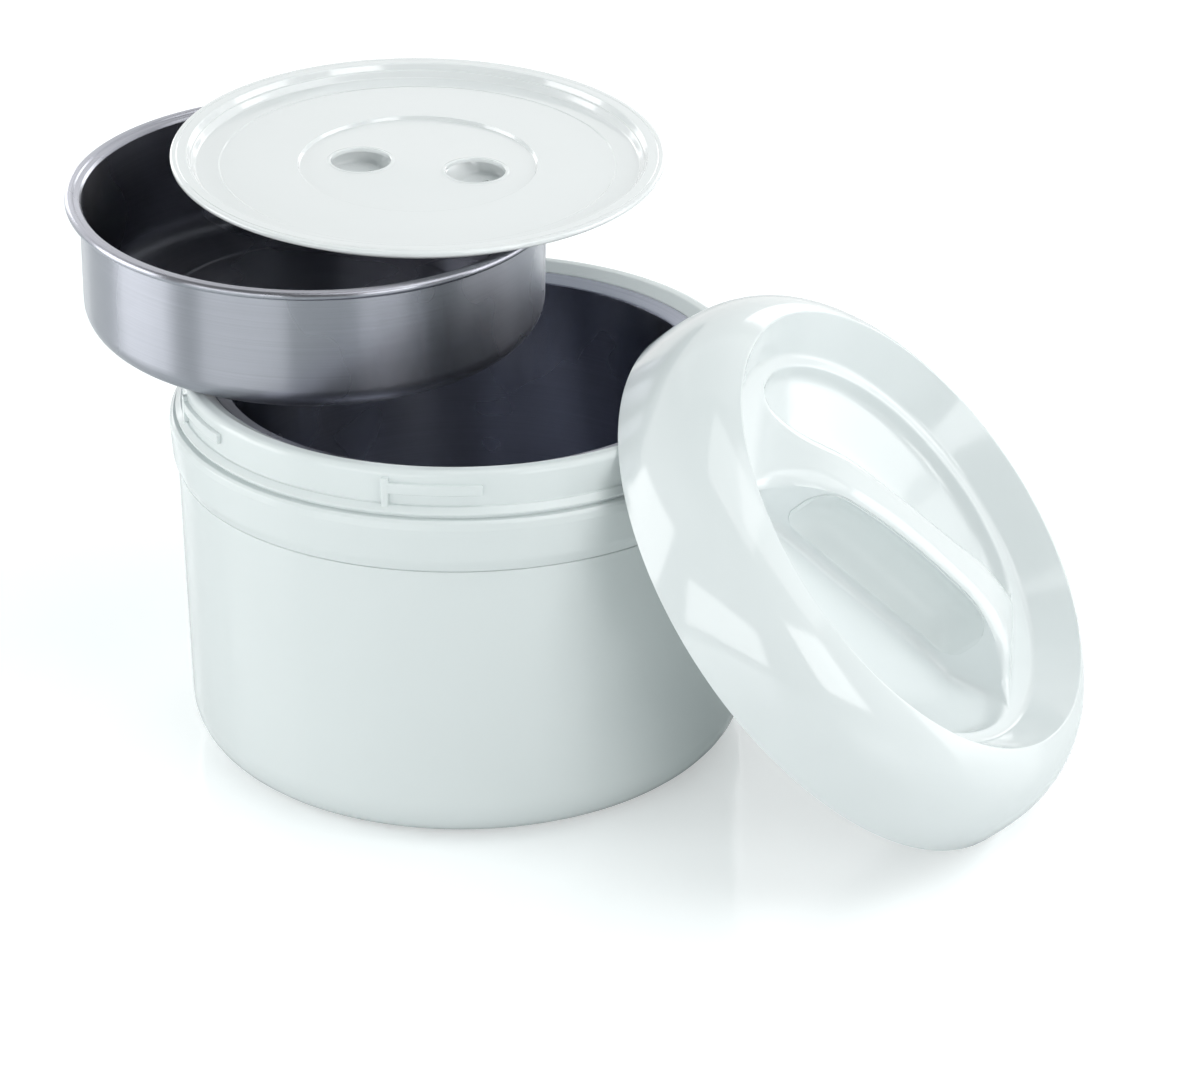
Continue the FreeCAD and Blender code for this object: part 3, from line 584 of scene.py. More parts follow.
def steel(name, colour):
    """A spun and brushed steel, whose highlights spread across the brushing."""
    material, tree, shader, where = new_material(name)
    along = add_node(tree, "ShaderNodeAttribute", attribute_name="along")
    lines = add_node(tree, "ShaderNodeGroup", {
        "Along": along.outputs["Fac"],
        "Around": where,
        "Colour": (*colour, 1),
        "Gloss": STEEL_GLOSS,
        "Contrast": STEEL_CONTRAST,
        "Line Scale": STEEL_LINES,
    }, node_tree=BRUSH)
    tangent = add_node(tree, "ShaderNodeTangent", direction_type="RADIAL", axis="Z")
    fill_inputs(tree, shader, {
        "Base Color": lines.outputs["Colour"],
        "Roughness": lines.outputs["Roughness"],
        "Metallic": 1.0,
        "Anisotropic": STEEL_STRETCH,
        "Anisotropic Rotation": QUARTER_TURN,
        "Tangent": tangent.outputs["Tangent"],
        "Normal": bump(tree, lines.outputs["Height"], STEEL_RELIEF, 0.6),
    })
    return material


def foam(name, colour):
    """Expanded foam with fine cells."""
    material, tree, shader, where = new_material(name)
    cells = add_node(tree, "ShaderNodeTexVoronoi", {"Vector": where, "Scale": FOAM_CELLS})
    depth = cells.outputs["Distance"]
    shade = spread(tree, depth, 0.86, 1.0, 0.0, 0.6)
    fill_inputs(tree, shader, {
        "Base Color": shaded(tree, (*colour, 1), shade),
        "Roughness": 0.85,
        "Normal": bump(tree, depth, FOAM_RELIEF),
    })
    return material


POT_PLASTIC = plastic(
    "pot_plastic", (0.81, 0.85, 0.85), gloss=0.13, handling=0.05, ripple=0.5
)
LID_PLASTIC = plastic(
    "lid_plastic", (0.83, 0.865, 0.87), gloss=0.1, handling=0.04, ripple=0.35, coat=0.3
)
PLATE_PLASTIC = plastic(
    "inner_lid_plastic", (0.89, 0.905, 0.91), gloss=0.12, handling=0.07, ripple=0.6,
    coat=0.8, specular=0.8,
)
LINING_PLASTIC = plastic(
    "lining_plastic", (0.79, 0.83, 0.83), gloss=0.3, handling=0.1, ripple=0.5
)
PAD_PLASTIC = plastic(
    "grip_insert_plastic", (0.79, 0.83, 0.83), gloss=0.06, handling=0.03, ripple=0.35, coat=0.4
)
BOWL_STEEL = steel("bowl_steel", (0.45, 0.46, 0.51))
TANK_STEEL = steel("tank_steel", (0.44, 0.46, 0.53))
SEAL_RUBBER = plastic(
    "seal_rubber", (0.62, 0.64, 0.64), gloss=0.5, handling=0.25, ripple=0.4, relief=0.0003
)
WHITE_FOAM = foam("white_foam", (0.85, 0.85, 0.83))
print(len(bpy.data.materials), "materials")

# %% [markdown]
# ## The pot
#
# The pot's body is a moulded cup with a big round at its foot, and the seat of its pad below.
# A collar swells out over the body's edge; between the two there is a fine parting line. Each
# is one section, turned.

# %% Pot body and pad
FOOT_ROUND = 24.8
WALL = 2.5
STAND = 0.5
foot_radius = SEAM_RADIUS - 1.2

pot_body = turned("pot_body", [
    (0, PAD_TOP),
    (PAD_RADIUS + 0.1, PAD_TOP),
    (PAD_RADIUS + 0.1, STAND, 0.3),
    (foot_radius, STAND, FOOT_ROUND),
    (SEAM_RADIUS, SEAM - 0.1, 0.45),
    (SEAM_RADIUS - WALL, SEAM - 0.1, 0.3),
    (foot_radius - WALL, STAND + WALL, FOOT_ROUND - WALL),
    (PAD_RADIUS + WALL, STAND + WALL, 1.0),
    (PAD_RADIUS, PAD_TOP + WALL, 1.0),
    (0, PAD_TOP + WALL),
], POT_PLASTIC)

pad = turned("foot_pad", [
    (0, 0),
    (PAD_RADIUS, 0, 0.4),
    (PAD_RADIUS, PAD_TOP, 0.2),
    (0, PAD_TOP),
], SEAL_RUBBER, segments=128)

# %% [markdown]
# The collar's outside starts flush with the body, swells by about two millimetres in a soft S,
# and ends in a rounded shoulder with a faint crease just below it.

# %% Collar
SWELL = 5.0
SPIGOT_DEPTH = 7.0
spigot = SEAM_RADIUS - WALL - 0.3
spigot_inside = spigot - 2.2

pot_collar = turned("pot_collar", [
    (spigot_inside, SEAM - SPIGOT_DEPTH, 0.3),
    (spigot, SEAM - SPIGOT_DEPTH, 0.3),
    (spigot, SEAM + 0.1),
    (SEAM_RADIUS - 0.1, SEAM + 0.1, 0.35),
    (SEAM_RADIUS + 0.45, SEAM + 1.4, 3.0),
    (SEAM_RADIUS + 1.75, SEAM + SWELL - 0.6, 6.0),
    (COLLAR_RADIUS, COLLAR_TOP - 3.3, 0.25),
    (COLLAR_RADIUS - 0.35, COLLAR_TOP - 0.9, 0.9),
    (COLLAR_RADIUS - 1.3, COLLAR_TOP, 0.6),
    (FLANGE_RADIUS - 5.2, COLLAR_TOP),
    (FLANGE_RADIUS - 5.2, COLLAR_TOP - WALL),
    (COLLAR_RADIUS - WALL, COLLAR_TOP - WALL, 0.8),
    (SEAM_RADIUS + 1.8 - WALL, SEAM + SWELL, 2.0),
    (spigot_inside, SEAM + 1.8, 1.0),
], POT_PLASTIC, closed=True)

# %% [markdown]
# The neck stands inside the collar. From below it has a dark groove, a thin flange with a
# forty-five degree chamfer, a plain band on which the outer lid turns, and a rounded crown that
# slopes in to the steel tank's rim.

# %% Neck
neck_radius = FLANGE_RADIUS - 2.9
flange_foot = COLLAR_TOP + 1.3
chamfer_top = flange_foot + 2.6
seat = TANK_RIM - 0.8 - 1.0
shelf = seat - 2.2

neck = turned("pot_neck", [
    (neck_radius - WALL, COLLAR_TOP + 0.02),
    (neck_radius + 1.4, COLLAR_TOP + 0.02),
    (neck_radius + 1.4, flange_foot, 0.15),
    (FLANGE_RADIUS, flange_foot, 0.25),
    (FLANGE_RADIUS, flange_foot + 0.7, 0.2),
    (FLANGE_RADIUS - 1.9, chamfer_top, 0.3),
    (neck_radius, chamfer_top, 0.35),
    (neck_radius, NECK_TOP, 3.7),
    (MOUTH_RADIUS + 4.6, NECK_TOP, 2.0),
    (MOUTH_RADIUS + 0.1, TANK_RIM + 0.1, 0.4),
    (MOUTH_RADIUS + 0.1, seat),
    (MOUTH_RADIUS - 5.1, shelf),
    (MOUTH_RADIUS - 5.1, shelf - WALL),
    (neck_radius - WALL, shelf - WALL),
], POT_PLASTIC, closed=True)

# %% [markdown]
# Six bayonet lugs stand out of the neck: a long bar that the lid's tabs slide under, and a
# short upright stop at its end. One lug is built as a mesh, and a second tree repeats it round
# the axis. The same tree later repeats the lid's own tabs.

# %% Geometry Nodes: repeat round the axis
BLOCK_STEP = 1.2
BLOCK_CORNER = 0.5


def ring_tree():
    """Repeats the geometry evenly round the upright axis."""
    tree, given, result = node_group("GeometryNodeTree", "Repeat round the axis", [
        ("Geometry", "NodeSocketGeometry", None),
        ("Count", "NodeSocketInt", 6),
        ("First Angle", "NodeSocketFloat", 0.0),
        ("Material", "NodeSocketMaterial", None),
    ], [("Geometry", "NodeSocketGeometry")])
    count = given.outputs["Count"]
    points = add_node(tree, "GeometryNodePoints", {"Count": count})
    index = add_node(tree, "GeometryNodeInputIndex")
    share = combine(tree, "DIVIDE", index.outputs["Index"], count)
    turns = add_node(tree, "ShaderNodeMath", {
        0: share, 1: 2 * math.pi, 2: given.outputs["First Angle"],
    }, operation="MULTIPLY_ADD")
    angles = add_node(tree, "ShaderNodeCombineXYZ", {"Z": turns.outputs["Value"]})
    place = add_node(tree, "GeometryNodeInstanceOnPoints", {
        "Points": points.outputs["Points"],
        "Instance": given.outputs["Geometry"],
        "Rotation": angles.outputs["Vector"],
    })
    end_tree(tree, given, result, place.outputs["Instances"])
    return tree


RING = ring_tree()
print("tree", RING.name, "has", len(RING.nodes), "nodes")


def bridge(work, rows, closed=False):
    """Faces between neighbouring rows of points; closed rows come back to their start."""
    for before, after in zip(rows, rows[1:]):
        count = len(before)
        for k in range(count if closed else count - 1):
            n = (k + 1) % count
            work.faces.new((before[k], before[n], after[n], after[k]))


def curved_block(name, inner, outer, start, turn, foot, head, bevel):
    """A block that follows the neck's curve from an angle, in millimetres and degrees."""
    work = bmesh.new()
    steps = max(2, math.ceil(turn / BLOCK_STEP))
    rows = []
    for k in range(steps + 1):
        angle = math.radians(start + turn * k / steps)
        c, s = math.cos(angle), math.sin(angle)
        rows.append([
            work.verts.new((r * c * MM, r * s * MM, z * MM))
            for r, z in ((inner, foot), (outer, foot), (outer, head), (inner, head))
        ])
    bridge(work, rows, closed=True)
    work.faces.new(rows[0][::-1])
    work.faces.new(rows[-1])
    bmesh.ops.recalc_face_normals(work, faces=work.faces)
    edges = [edge for edge in work.edges if edge.calc_face_angle(0) > BLOCK_CORNER]
    bmesh.ops.bevel(
        work, geom=edges, offset=bevel * MM, segments=3, profile=0.6, affect="EDGES"
    )
    return mesh_from(work, name)


def repeated(name, meshes, count, first_angle, material, pose=None):
    """Several meshes as one piece, repeated round the axis."""
    work = bmesh.new()
    for mesh in meshes:
        work.from_mesh(mesh)
        bpy.data.meshes.remove(mesh)
    source = add_object(name + "_source", mesh_from(work, name + "_one"))
    values = {"Count": count, "First Angle": first_angle, "Material": material}
    mesh = finish_mesh(run_tree(name, RING, source, values), pose)
    print(f"{name}: {count} copies, {len(mesh.polygons)} faces")
    return add_object(name, mesh)


# %% [markdown]
# A lug's bar and its stop reach a little into the neck's wall, so that no gap shows at their
# root. The stop stands a hair further out, so that the two never share a face.

# %% Bayonet lugs
LUG_COUNT = 6
LUG_START = -106.3
LUG_TURN = 19.5
LUG_HEIGHT = 3.8
STOP_TURN = 1.4
lug_foot = COLLAR_TOP + 8.1
lug_outer = neck_radius + 1.7
lug_inner = neck_radius - 1.0
stop_foot = flange_foot + 0.7
stop_head = COLLAR_TOP + 13.6

lugs = repeated("bayonet_lugs", [
    curved_block(
        "lug_bar", lug_inner, lug_outer, LUG_START, LUG_TURN, lug_foot, lug_foot + LUG_HEIGHT, 0.55
    ),
    curved_block(
        "lug_stop", lug_inner, lug_outer + 0.05, LUG_START, STOP_TURN, stop_foot, stop_head, 0.4
    ),
], LUG_COUNT, 0.0, POT_PLASTIC)

# %% [markdown]
# The tank is one deep-drawn piece of steel. Its rim slopes in over the neck and turns down over
# a small round, the wall is straight, and the floor meets it in a bigger round with a faint
# drawing ring inside.

# %% Steel tank
tank_radius = MOUTH_RADIUS - 5.9
floor_height = TANK_FOOT + 0.8

tank = turned("steel_tank", [
    (0, floor_height),
    (58.0, floor_height, 3.0),
    (59.5, floor_height + 0.45, 3.0),
    (tank_radius, floor_height + 0.5, 8.0),
    (tank_radius, TANK_RIM - 2.2, 1.0),
    (MOUTH_RADIUS, TANK_RIM, 0.3),
    (MOUTH_RADIUS, TANK_RIM - 0.75, 0.3),
    (tank_radius + 0.8, TANK_RIM - 3.1, 0.5),
    (tank_radius + 0.8, TANK_FOOT, 8.8),
    (0, TANK_FOOT),
], TANK_STEEL)

# %% [markdown]
# ## The bowl
#
# The bowl is spun from one sheet. Its lip is rolled outwards into a bead, and a fine groove
# runs where the roll meets the sheet. The wall is straight, and the floor is flat with a soft
# round corner.

# %% Steel bowl
BOWL_WALL_RADIUS = 84.4
BOWL_DEPTH = 48.9
SHEET = 0.8
inside = BOWL_WALL_RADIUS - SHEET

bowl = turned("steel_bowl", [
    (0, SHEET - BOWL_DEPTH),
    (56.0, SHEET - BOWL_DEPTH, 3.0),
    (57.2, SHEET - BOWL_DEPTH + 0.35, 3.0),
    (inside, SHEET - BOWL_DEPTH + 0.4, 8.2),
    (inside, -1.9, 0.6),
    (inside + 0.9, -0.75, 1.0),
    (86.35, -0.7, 0.35),
    (86.8, -0.02, 1.3),
    (BEAD_RADIUS, 0, 1.5),
    (BEAD_RADIUS, -3.0, 1.45),
    (86.6, -3.0, 0.9),
    (BOWL_WALL_RADIUS + 0.3, -2.6, 0.4),
    (BOWL_WALL_RADIUS, -3.8, 1.0),
    (BOWL_WALL_RADIUS, -BOWL_DEPTH, 9.0),
    (0, -BOWL_DEPTH),
], BOWL_STEEL, pose=BOWL_POSE)

# %% [markdown]
# ## The inner lid
#
# The inner lid is a thin moulding: a rounded flange, a wall in two tiers, a level floor with a
# fine ring, and a shallow round recess with two finger holes. The part outside the recess is
# turned. The recess floor is a flat face with two holes in it, and each hole has a rolled lip.

# %% Inner lid: rim, wall and floor
PLATE_WALL = 1.2
RECESS_RADIUS = 43.9
RECESS_EDGE = 43.3
RING_FLOOR = -5.1
RECESS_FLOOR = -6.4
TIER_FLOOR = -4.8
FLANGE_FOOT = -2.3

plate_rim = turned("inner_lid_rim", [
    (RECESS_EDGE - 0.6, RECESS_FLOOR),
    (RECESS_EDGE, RECESS_FLOOR, 0.2),
    (RECESS_RADIUS, RING_FLOOR, 0.2),
    (72.3, RING_FLOOR, 0.25),
    (72.8, TIER_FLOOR, 0.25),
    (81.2, TIER_FLOOR, 0.9),
    (82.6, -2.4, 0.5),
    (83.3, -2.4, 0.4),
    (84.2, 0, 0.6),
    (87.9, 0, 0.2),
    (88.15, -0.16, 0.12),
    (88.4, 0, 0.2),
    (FLANGE_EDGE_RADIUS, 0, 1.14),
    (FLANGE_EDGE_RADIUS, FLANGE_FOOT, 1.14),
    (85.4, FLANGE_FOOT, 0.6),
    (82.4, TIER_FLOOR - PLATE_WALL, 0.9),
    (72.8, TIER_FLOOR - PLATE_WALL, 0.25),
    (72.3, RING_FLOOR - PLATE_WALL, 0.25),
    (RECESS_RADIUS, RING_FLOOR - PLATE_WALL, 0.2),
    (RECESS_EDGE, RECESS_FLOOR - PLATE_WALL, 0.2),
    (RECESS_EDGE - 0.6, RECESS_FLOOR - PLATE_WALL),
], PLATE_PLASTIC)

# %% [markdown]
# The floor of the recess cannot be turned, because its holes stand off the middle. It is drawn
# twice, as the top and the underside, and each hole's lip runs round the hole and joins the two.

# %% Inner lid: recess floor with two lipped holes
HOLE_RADIUS = 11.25
HOLE_OFFSET = 21.5
LIP = 1.6
LIP_RISE = 0.35
HOLE_SEGMENTS = 96


def ring_points(radius, height, centre=0.0, count=HOLE_SEGMENTS):
    """Points of a circle in metres, for a centre on the finger line."""
    return [
        ((centre + radius * math.cos(2 * math.pi * k / count)) * MM,
         radius * math.sin(2 * math.pi * k / count) * MM, height * MM)
        for k in range(count)
    ]


def holed_disc(work, height, hole_radius, outer_radius, outer_count):
    """A flat disc with two holes, filled between its three circles."""
    loops = [ring_points(outer_radius, height, count=outer_count)]
    loops += [ring_points(hole_radius, height, sign * HOLE_OFFSET) for sign in (-1, 1)]
    edges = []
    for loop in loops:
        verts = [work.verts.new(p) for p in loop]
        edges += [work.edges.new((verts[k - 1], verts[k])) for k in range(len(verts))]
    bmesh.ops.triangle_fill(work, use_beauty=True, use_dissolve=False, edges=edges)


def lip_rings(work, centre, rings):
    """A band of faces through circles of (radius, height) about one hole."""
    rows = [[work.verts.new(p) for p in ring_points(r, z, centre)] for r, z in rings]
    bridge(work, rows, closed=True)


lip_section = [
    (HOLE_RADIUS + LIP, RECESS_FLOOR),
    (HOLE_RADIUS + LIP - 0.25, RECESS_FLOOR + 0.02),
    (HOLE_RADIUS + LIP - 0.6, RECESS_FLOOR + 0.16),
    (HOLE_RADIUS + LIP - 0.95, RECESS_FLOOR + LIP_RISE - 0.04),
    (HOLE_RADIUS + 0.15, RECESS_FLOOR + LIP_RISE),
    (HOLE_RADIUS - 0.1, RECESS_FLOOR + LIP_RISE - 0.1),
    (HOLE_RADIUS - 0.26, RECESS_FLOOR + LIP_RISE - 0.3),
    (HOLE_RADIUS - 0.3, RECESS_FLOOR + LIP_RISE - 0.6),
    (HOLE_RADIUS - 0.3, RECESS_FLOOR - PLATE_WALL),
    (HOLE_RADIUS + LIP, RECESS_FLOOR - PLATE_WALL),
]
work = bmesh.new()
work.from_mesh(plate_rim.data)
for level in (RECESS_FLOOR, RECESS_FLOOR - PLATE_WALL):
    holed_disc(work, level, HOLE_RADIUS + LIP, RECESS_EDGE - 0.6, SEGMENTS)
for sign in (-1, 1):
    lip_rings(work, sign * HOLE_OFFSET, lip_section)
mesh = mesh_from(work, "inner_lid_disc", PLATE_PLASTIC)
bpy.data.objects.remove(plate_rim)
plate = add_object("inner_lid_disc", finish_mesh(mesh, PLATE_POSE))
print(f"inner_lid_disc: {len(mesh.polygons)} faces")

# %% [markdown]
# Under each hole hangs a closed pocket that keeps the milk in and stops the fingertip. Its side
# towards the lid's middle starts at the hole's edge and slopes under it, as a pocket does that
# was shaped for a bent finger. Its floor has the small round mark of the mould's gate.

# %% Finger pockets
POCKET_RADIUS = 15.5
POCKET_DEPTH = 12.0
POCKET_TAPER = 3.0
POCKET_REACH = 6.4
POCKET_SLOPE = 8.0
HOLE_MARGIN = 0.6
GATE_RADIUS = 1.5
GATE_RISE = 0.45
GATE_PLACE = (3.2, 5.0)
pocket_head = RECESS_FLOOR - PLATE_WALL
pocket_floor = RECESS_FLOOR - POCKET_REACH


def clamp(value):
    """A value kept between 0 and 1."""
    return min(max(value, 0.0), 1.0)


def pocket(name, sign):
    """A closed cup under one finger hole, in the inner lid's own place."""
    inner = POCKET_RADIUS - PLATE_WALL
    piece = turned(name, [
        (0, pocket_floor),
        (inner - 1.2, pocket_floor, 1.6),
        (inner, pocket_head, 0.1),
        (POCKET_RADIUS, pocket_head, 0.1),
        (POCKET_RADIUS - POCKET_TAPER, pocket_head - POCKET_DEPTH, 1.8),
        (0, pocket_head - POCKET_DEPTH),
    ], PLATE_PLASTIC, segments=128)
    for vertex in piece.data.vertices:
        depth = clamp((pocket_head * MM - vertex.co.z) / (POCKET_DEPTH * MM))
        if sign * vertex.co.x < 0:
            near = HOLE_RADIUS - HOLE_MARGIN - POCKET_SLOPE * depth
            vertex.co.x *= near / (inner - POCKET_TAPER * depth)
    piece.data.transform(PLATE_POSE @ Matrix.Translation((sign * HOLE_OFFSET * MM, 0, 0)))
    return piece


def gate_mark(name, sign):
    """The small raised ring that the mould's gate leaves on a pocket's floor."""
    mark = turned(name, [
        (0, pocket_floor - 0.3),
        (GATE_RADIUS, pocket_floor - 0.3),
        (GATE_RADIUS, pocket_floor + GATE_RISE, 0.15),
        (GATE_RADIUS - 0.5, pocket_floor + GATE_RISE, 0.12),
        (GATE_RADIUS - 0.5, pocket_floor + 0.05),
        (0, pocket_floor + 0.05),
    ], PLATE_PLASTIC, segments=32)
    across, away = GATE_PLACE
    place = Matrix.Translation(((sign * HOLE_OFFSET + across) * MM, away * MM, 0))
    mark.data.transform(PLATE_POSE @ place)
    return mark


gate_left = gate_mark("gate_mark_left", -1)
gate_right = gate_mark("gate_mark_right", 1)
pocket_left = pocket("finger_pocket_left", -1)
pocket_right = pocket("finger_pocket_right", 1)

# %% [markdown]
# ## The outer lid
#
# The outer lid leans, so a plain box says little about its own sizes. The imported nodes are
# measured in the lid's own place instead: along its axis for heights, and away from it for radii.

# %% Measure a node in a leaning place


def own_extent(node, pose):
    """The largest radius, the lowest and the highest point of a node about a pose's axis, in mm."""
    back = pose.inverted()
    places = [back @ vertex.co for vertex in frame["nodes"][node].data.vertices]
    radius = max(math.hypot(place.x, place.y) for place in places)
    heights = [place.z for place in places]
    return radius / MM, min(heights) / MM, max(heights) / MM


LID_RADIUS, LID_FOOT, LID_CREST = own_extent("lid_shell", LID_POSE)
LINING_RADIUS, LINING_FOOT, LINING_HEAD = own_extent("lid_lining", LID_POSE)
SEAL_OUTER, SEAL_FOOT, SEAL_HEAD = own_extent("lid_gasket", LID_POSE)
print(f"lid radius {LID_RADIUS:.1f}, foot {LID_FOOT:.1f}, crest {LID_CREST:.2f}")
print(f"seal radius {SEAL_OUTER:.1f} from {SEAL_FOOT:.1f} to {SEAL_HEAD:.1f}")

# %% [markdown]
# The lid is a bulging ring with a crisp crest. Inside the crest a cone falls to a narrow ledge.
# That much is turned, so it is one section: a free curve for the bulge, with its four handles,
# then the crest, the cone and the ledge.

# %% Outer lid: bulge, crest and cone
CREST_RADIUS = LID_RADIUS - 19.2
CONE_RADIUS = CREST_RADIUS - 9.1
DISH_DROP = 15.0
RING_RADIUS = CONE_RADIUS - 4.0
RING_COUNT = 288


def free_curve(handles, count):
    """Points on a Bezier curve with four handles."""
    points = []
    for k in range(count + 1):
        t = k / count
        weights = ((1 - t) ** 3, 3 * t * (1 - t) ** 2, 3 * t * t * (1 - t), t ** 3)
        points.append(tuple(sum(w * h[i] for w, h in zip(weights, handles)) for i in (0, 1)))
    return points


bulge = free_curve([
    (LID_RADIUS, LID_FOOT),
    (LID_RADIUS + 0.56, LID_FOOT + 25.6),
    (CREST_RADIUS + 12.1, -6.0),
    (CREST_RADIUS + 0.1, -0.05),
], 36)
slope = (bulge[-1][0] - bulge[-2][0], bulge[-1][1] - bulge[-2][1])
crest = section([
    bulge[-2],
    (bulge[-1][0] + 0.1 * slope[0], bulge[-1][1] + 0.1 * slope[1], 0.9),
    (CONE_RADIUS - 0.6, -DISH_DROP, 9.0),
    (RING_RADIUS, -DISH_DROP),
])
lid_ring = swept("outer_lid_ring", bulge[:-2] + crest, LID_PLASTIC, segments=RING_COUNT)

# %% [markdown]
# Inside the ledge two wells leave a grip bar between them. The bar runs along the lid's own Y.
# The wells' floor is a spoon: steep at its lip, then a gentle slope, then flat. It depends on
# the distance from the middle, and is filled up a little where the ledge and the bar meet. The
# bar's top is arched along its length, and its plan is an hourglass that flares into the ledge.
# Both are smooth curves through a short table of stations along the bar.

# %% The wells' floor and the bar's stations
WELL_FLOOR = 30.5
BAR_FOOT = 12.9
BAR_WAIST = 9.0
FOOT_MARGIN = 0.7
LEDGE_BLEND = 14.0
CORNER_FILL = 6.5
CORNER_REACH = 24.0
spoon = section([
    (RING_RADIUS + 1.0, -DISH_DROP),
    (RING_RADIUS - 0.6, -DISH_DROP, 1.6),
    (RING_RADIUS - 2.6, -DISH_DROP - 5.0, 4.5),
    (RING_RADIUS - 21.8, -WELL_FLOOR, 22.0),
    (0, -WELL_FLOOR),
])
spoon_r, spoon_z = (np.array(axis) for axis in zip(*sorted(spoon)))
STATIONS = [
    (-66.5, -14.0, 33.0), (-65.0, -12.8, 27.0), (-62.0, -10.2, 22.2), (-56.0, -5.8, 17.8),
    (-50.0, -3.2, 15.2), (-44.0, -1.3, 13.5), (-38.0, -0.2, 12.2), (-32.0, 0.4, 11.1),
    (-20.0, 0.7, 9.7), (-8.0, 0.9, 9.1), (4.0, 0.8, 9.0), (14.0, 0.4, 9.1), (20.0, 0.0, 9.4),
    (26.0, -0.5, 9.8), (32.0, -1.3, 10.2), (38.0, -2.6, 11.0), (44.0, -4.5, 12.2),
    (52.0, -8.0, 15.2), (58.0, -11.0, 19.2), (62.0, -13.0, 23.5), (65.0, -14.4, 30.0),
    (66.0, -14.8, 34.0),
]


def smooth_curve(places, values):
    """A function that runs smoothly through the values and stays level outside them."""
    places, values = np.array(places), np.array(values)
    slopes = np.gradient(values, places)

    def value_at(place):
        """The height or width at a place along the bar."""
        place = min(max(place, places[0]), places[-1])
        k = min(max(int(np.searchsorted(places, place)) - 1, 0), len(places) - 2)
        span = places[k + 1] - places[k]
        t = (place - places[k]) / span
        rise = 3 * t ** 2 - 2 * t ** 3
        ends = (2 * t ** 3 - 3 * t ** 2 + 1) * values[k] + rise * values[k + 1]
        bends = (t ** 3 - 2 * t ** 2 + t) * slopes[k] + (t ** 3 - t ** 2) * slopes[k + 1]
        return float(ends + span * bends)

    return value_at


stations_q, stations_z, stations_half = zip(*STATIONS)
arch_height = smooth_curve(stations_q, stations_z)
bar_ridge = smooth_curve(stations_q, stations_half)


def smooth(start, end, value):
    """Goes smoothly from 0 at the start to 1 at the end."""
    t = clamp((value - start) / (end - start))
    return t * t * (3 - 2 * t)


def bar_foot(q):
    """Half-width of the bar at its foot, always a little outside its ridge."""
    ridge = bar_ridge(q) + FOOT_MARGIN
    return ridge + max(BAR_FOOT - ridge, 0.0) ** 2 / (BAR_FOOT - BAR_WAIST)


def well_height(p, q):
    """Height of the wells' floor and wall; the corners between ring and bar are filled round."""
    radius = math.hypot(p, q)
    from_ring = max(1.0 - (RING_RADIUS - radius) / CORNER_REACH, 0.0)
    from_bar = max(1.0 - max(abs(p) - bar_foot(q), 0.0) / CORNER_REACH, 0.0)
    filled = radius + CORNER_FILL * (from_ring * from_bar) ** 2
    return float(np.interp(filled, spoon_r, spoon_z))


def bar_top(p, q):
    """Height of the bar's top before its edges are rounded; it meets the ledge at the ring."""
    near = smooth(0.0, LEDGE_BLEND, RING_RADIUS - math.hypot(p, q))
    return (arch_height(q) + DISH_DROP) * near - DISH_DROP


print(f"bar's middle at {arch_height(0):.2f}, half {bar_ridge(0):.2f} wide at its ridge")
print(f"bar's foot: {bar_foot(0):.2f} in the middle, {bar_foot(60):.2f} near its end")

# %% [markdown]
# Each row across the dish starts and ends on a point of the ledge's inner ring, so that the two
# parts share their edge. From the middle a row goes over the bar's crowned top, round its edge,
# down a flank that is scooped out for the fingers, round the foot, and up the well. The spacing
# follows circles about the axis, which keeps the lip and the slope crisp.

# %% Rows across the dish
EDGE = 6.0
EDGE_SHARE = 0.8
CROWN = 1.9
CROWN_POWER = 2.2
FULL_HEIGHT = 12.0
FLARE = (30.0, 50.0)
FLARE_CROWN = 1.8
FLARE_EDGE = 3.0
FILLET = 3.5
SCOOP = 5.6
SCOOP_ENDS = (-46.0, 41.0)
SCOOP_ROUND = 15.0
SCOOP_TOP, SCOOP_SPAN = 0.03, 0.97
BORDER = 1.5
BORDER_SHARE = 0.06
TOP_SHARES = (0, 0.15, 0.3, 0.45, 0.6, 0.75, 0.88, 1.0)
EDGE_STEPS, FLANK_STEPS, FILLET_STEPS = 10, 24, 5
WELL_CIRCLES = [
    14, 20, 26, 32, 37, 41, 44, 46.5, 48.5, 50, 51.5, 53, 54.5, 56, 58, 60, 62, 64, 66, 67.5, 69,
    70, 70.7, 71.3, 71.7, 72.0, 72.3, 72.6, 72.9, 73.1, 73.25, 73.4, 73.55, RING_RADIUS,
]


def chord_at(radius, q):
    """Half the width of a circle at a distance from its middle."""
    return math.sqrt(max(radius ** 2 - q * q, 0.0))


def hollow(distance, run):
    """Rises from 0 at an edge to 1 at a distance from it, like a rounded hollow."""
    left = 1.0 - clamp(distance / run)
    return 1.0 - left * left


def scoop_depth(q, side, v):
    """How far the flank is hollowed inside a border; the two flanks are half a turn apart."""
    along = -side * q
    start, end = SCOOP_ENDS[0] + BORDER, SCOOP_ENDS[1] - BORDER
    lengthwise = hollow(along - start, SCOOP_ROUND) * hollow(end - along, SCOOP_ROUND)
    upright = (v - SCOOP_TOP) / (SCOOP_SPAN - BORDER_SHARE)
    return SCOOP * lengthwise * hollow(min(upright, 1.0 - upright), 0.5)


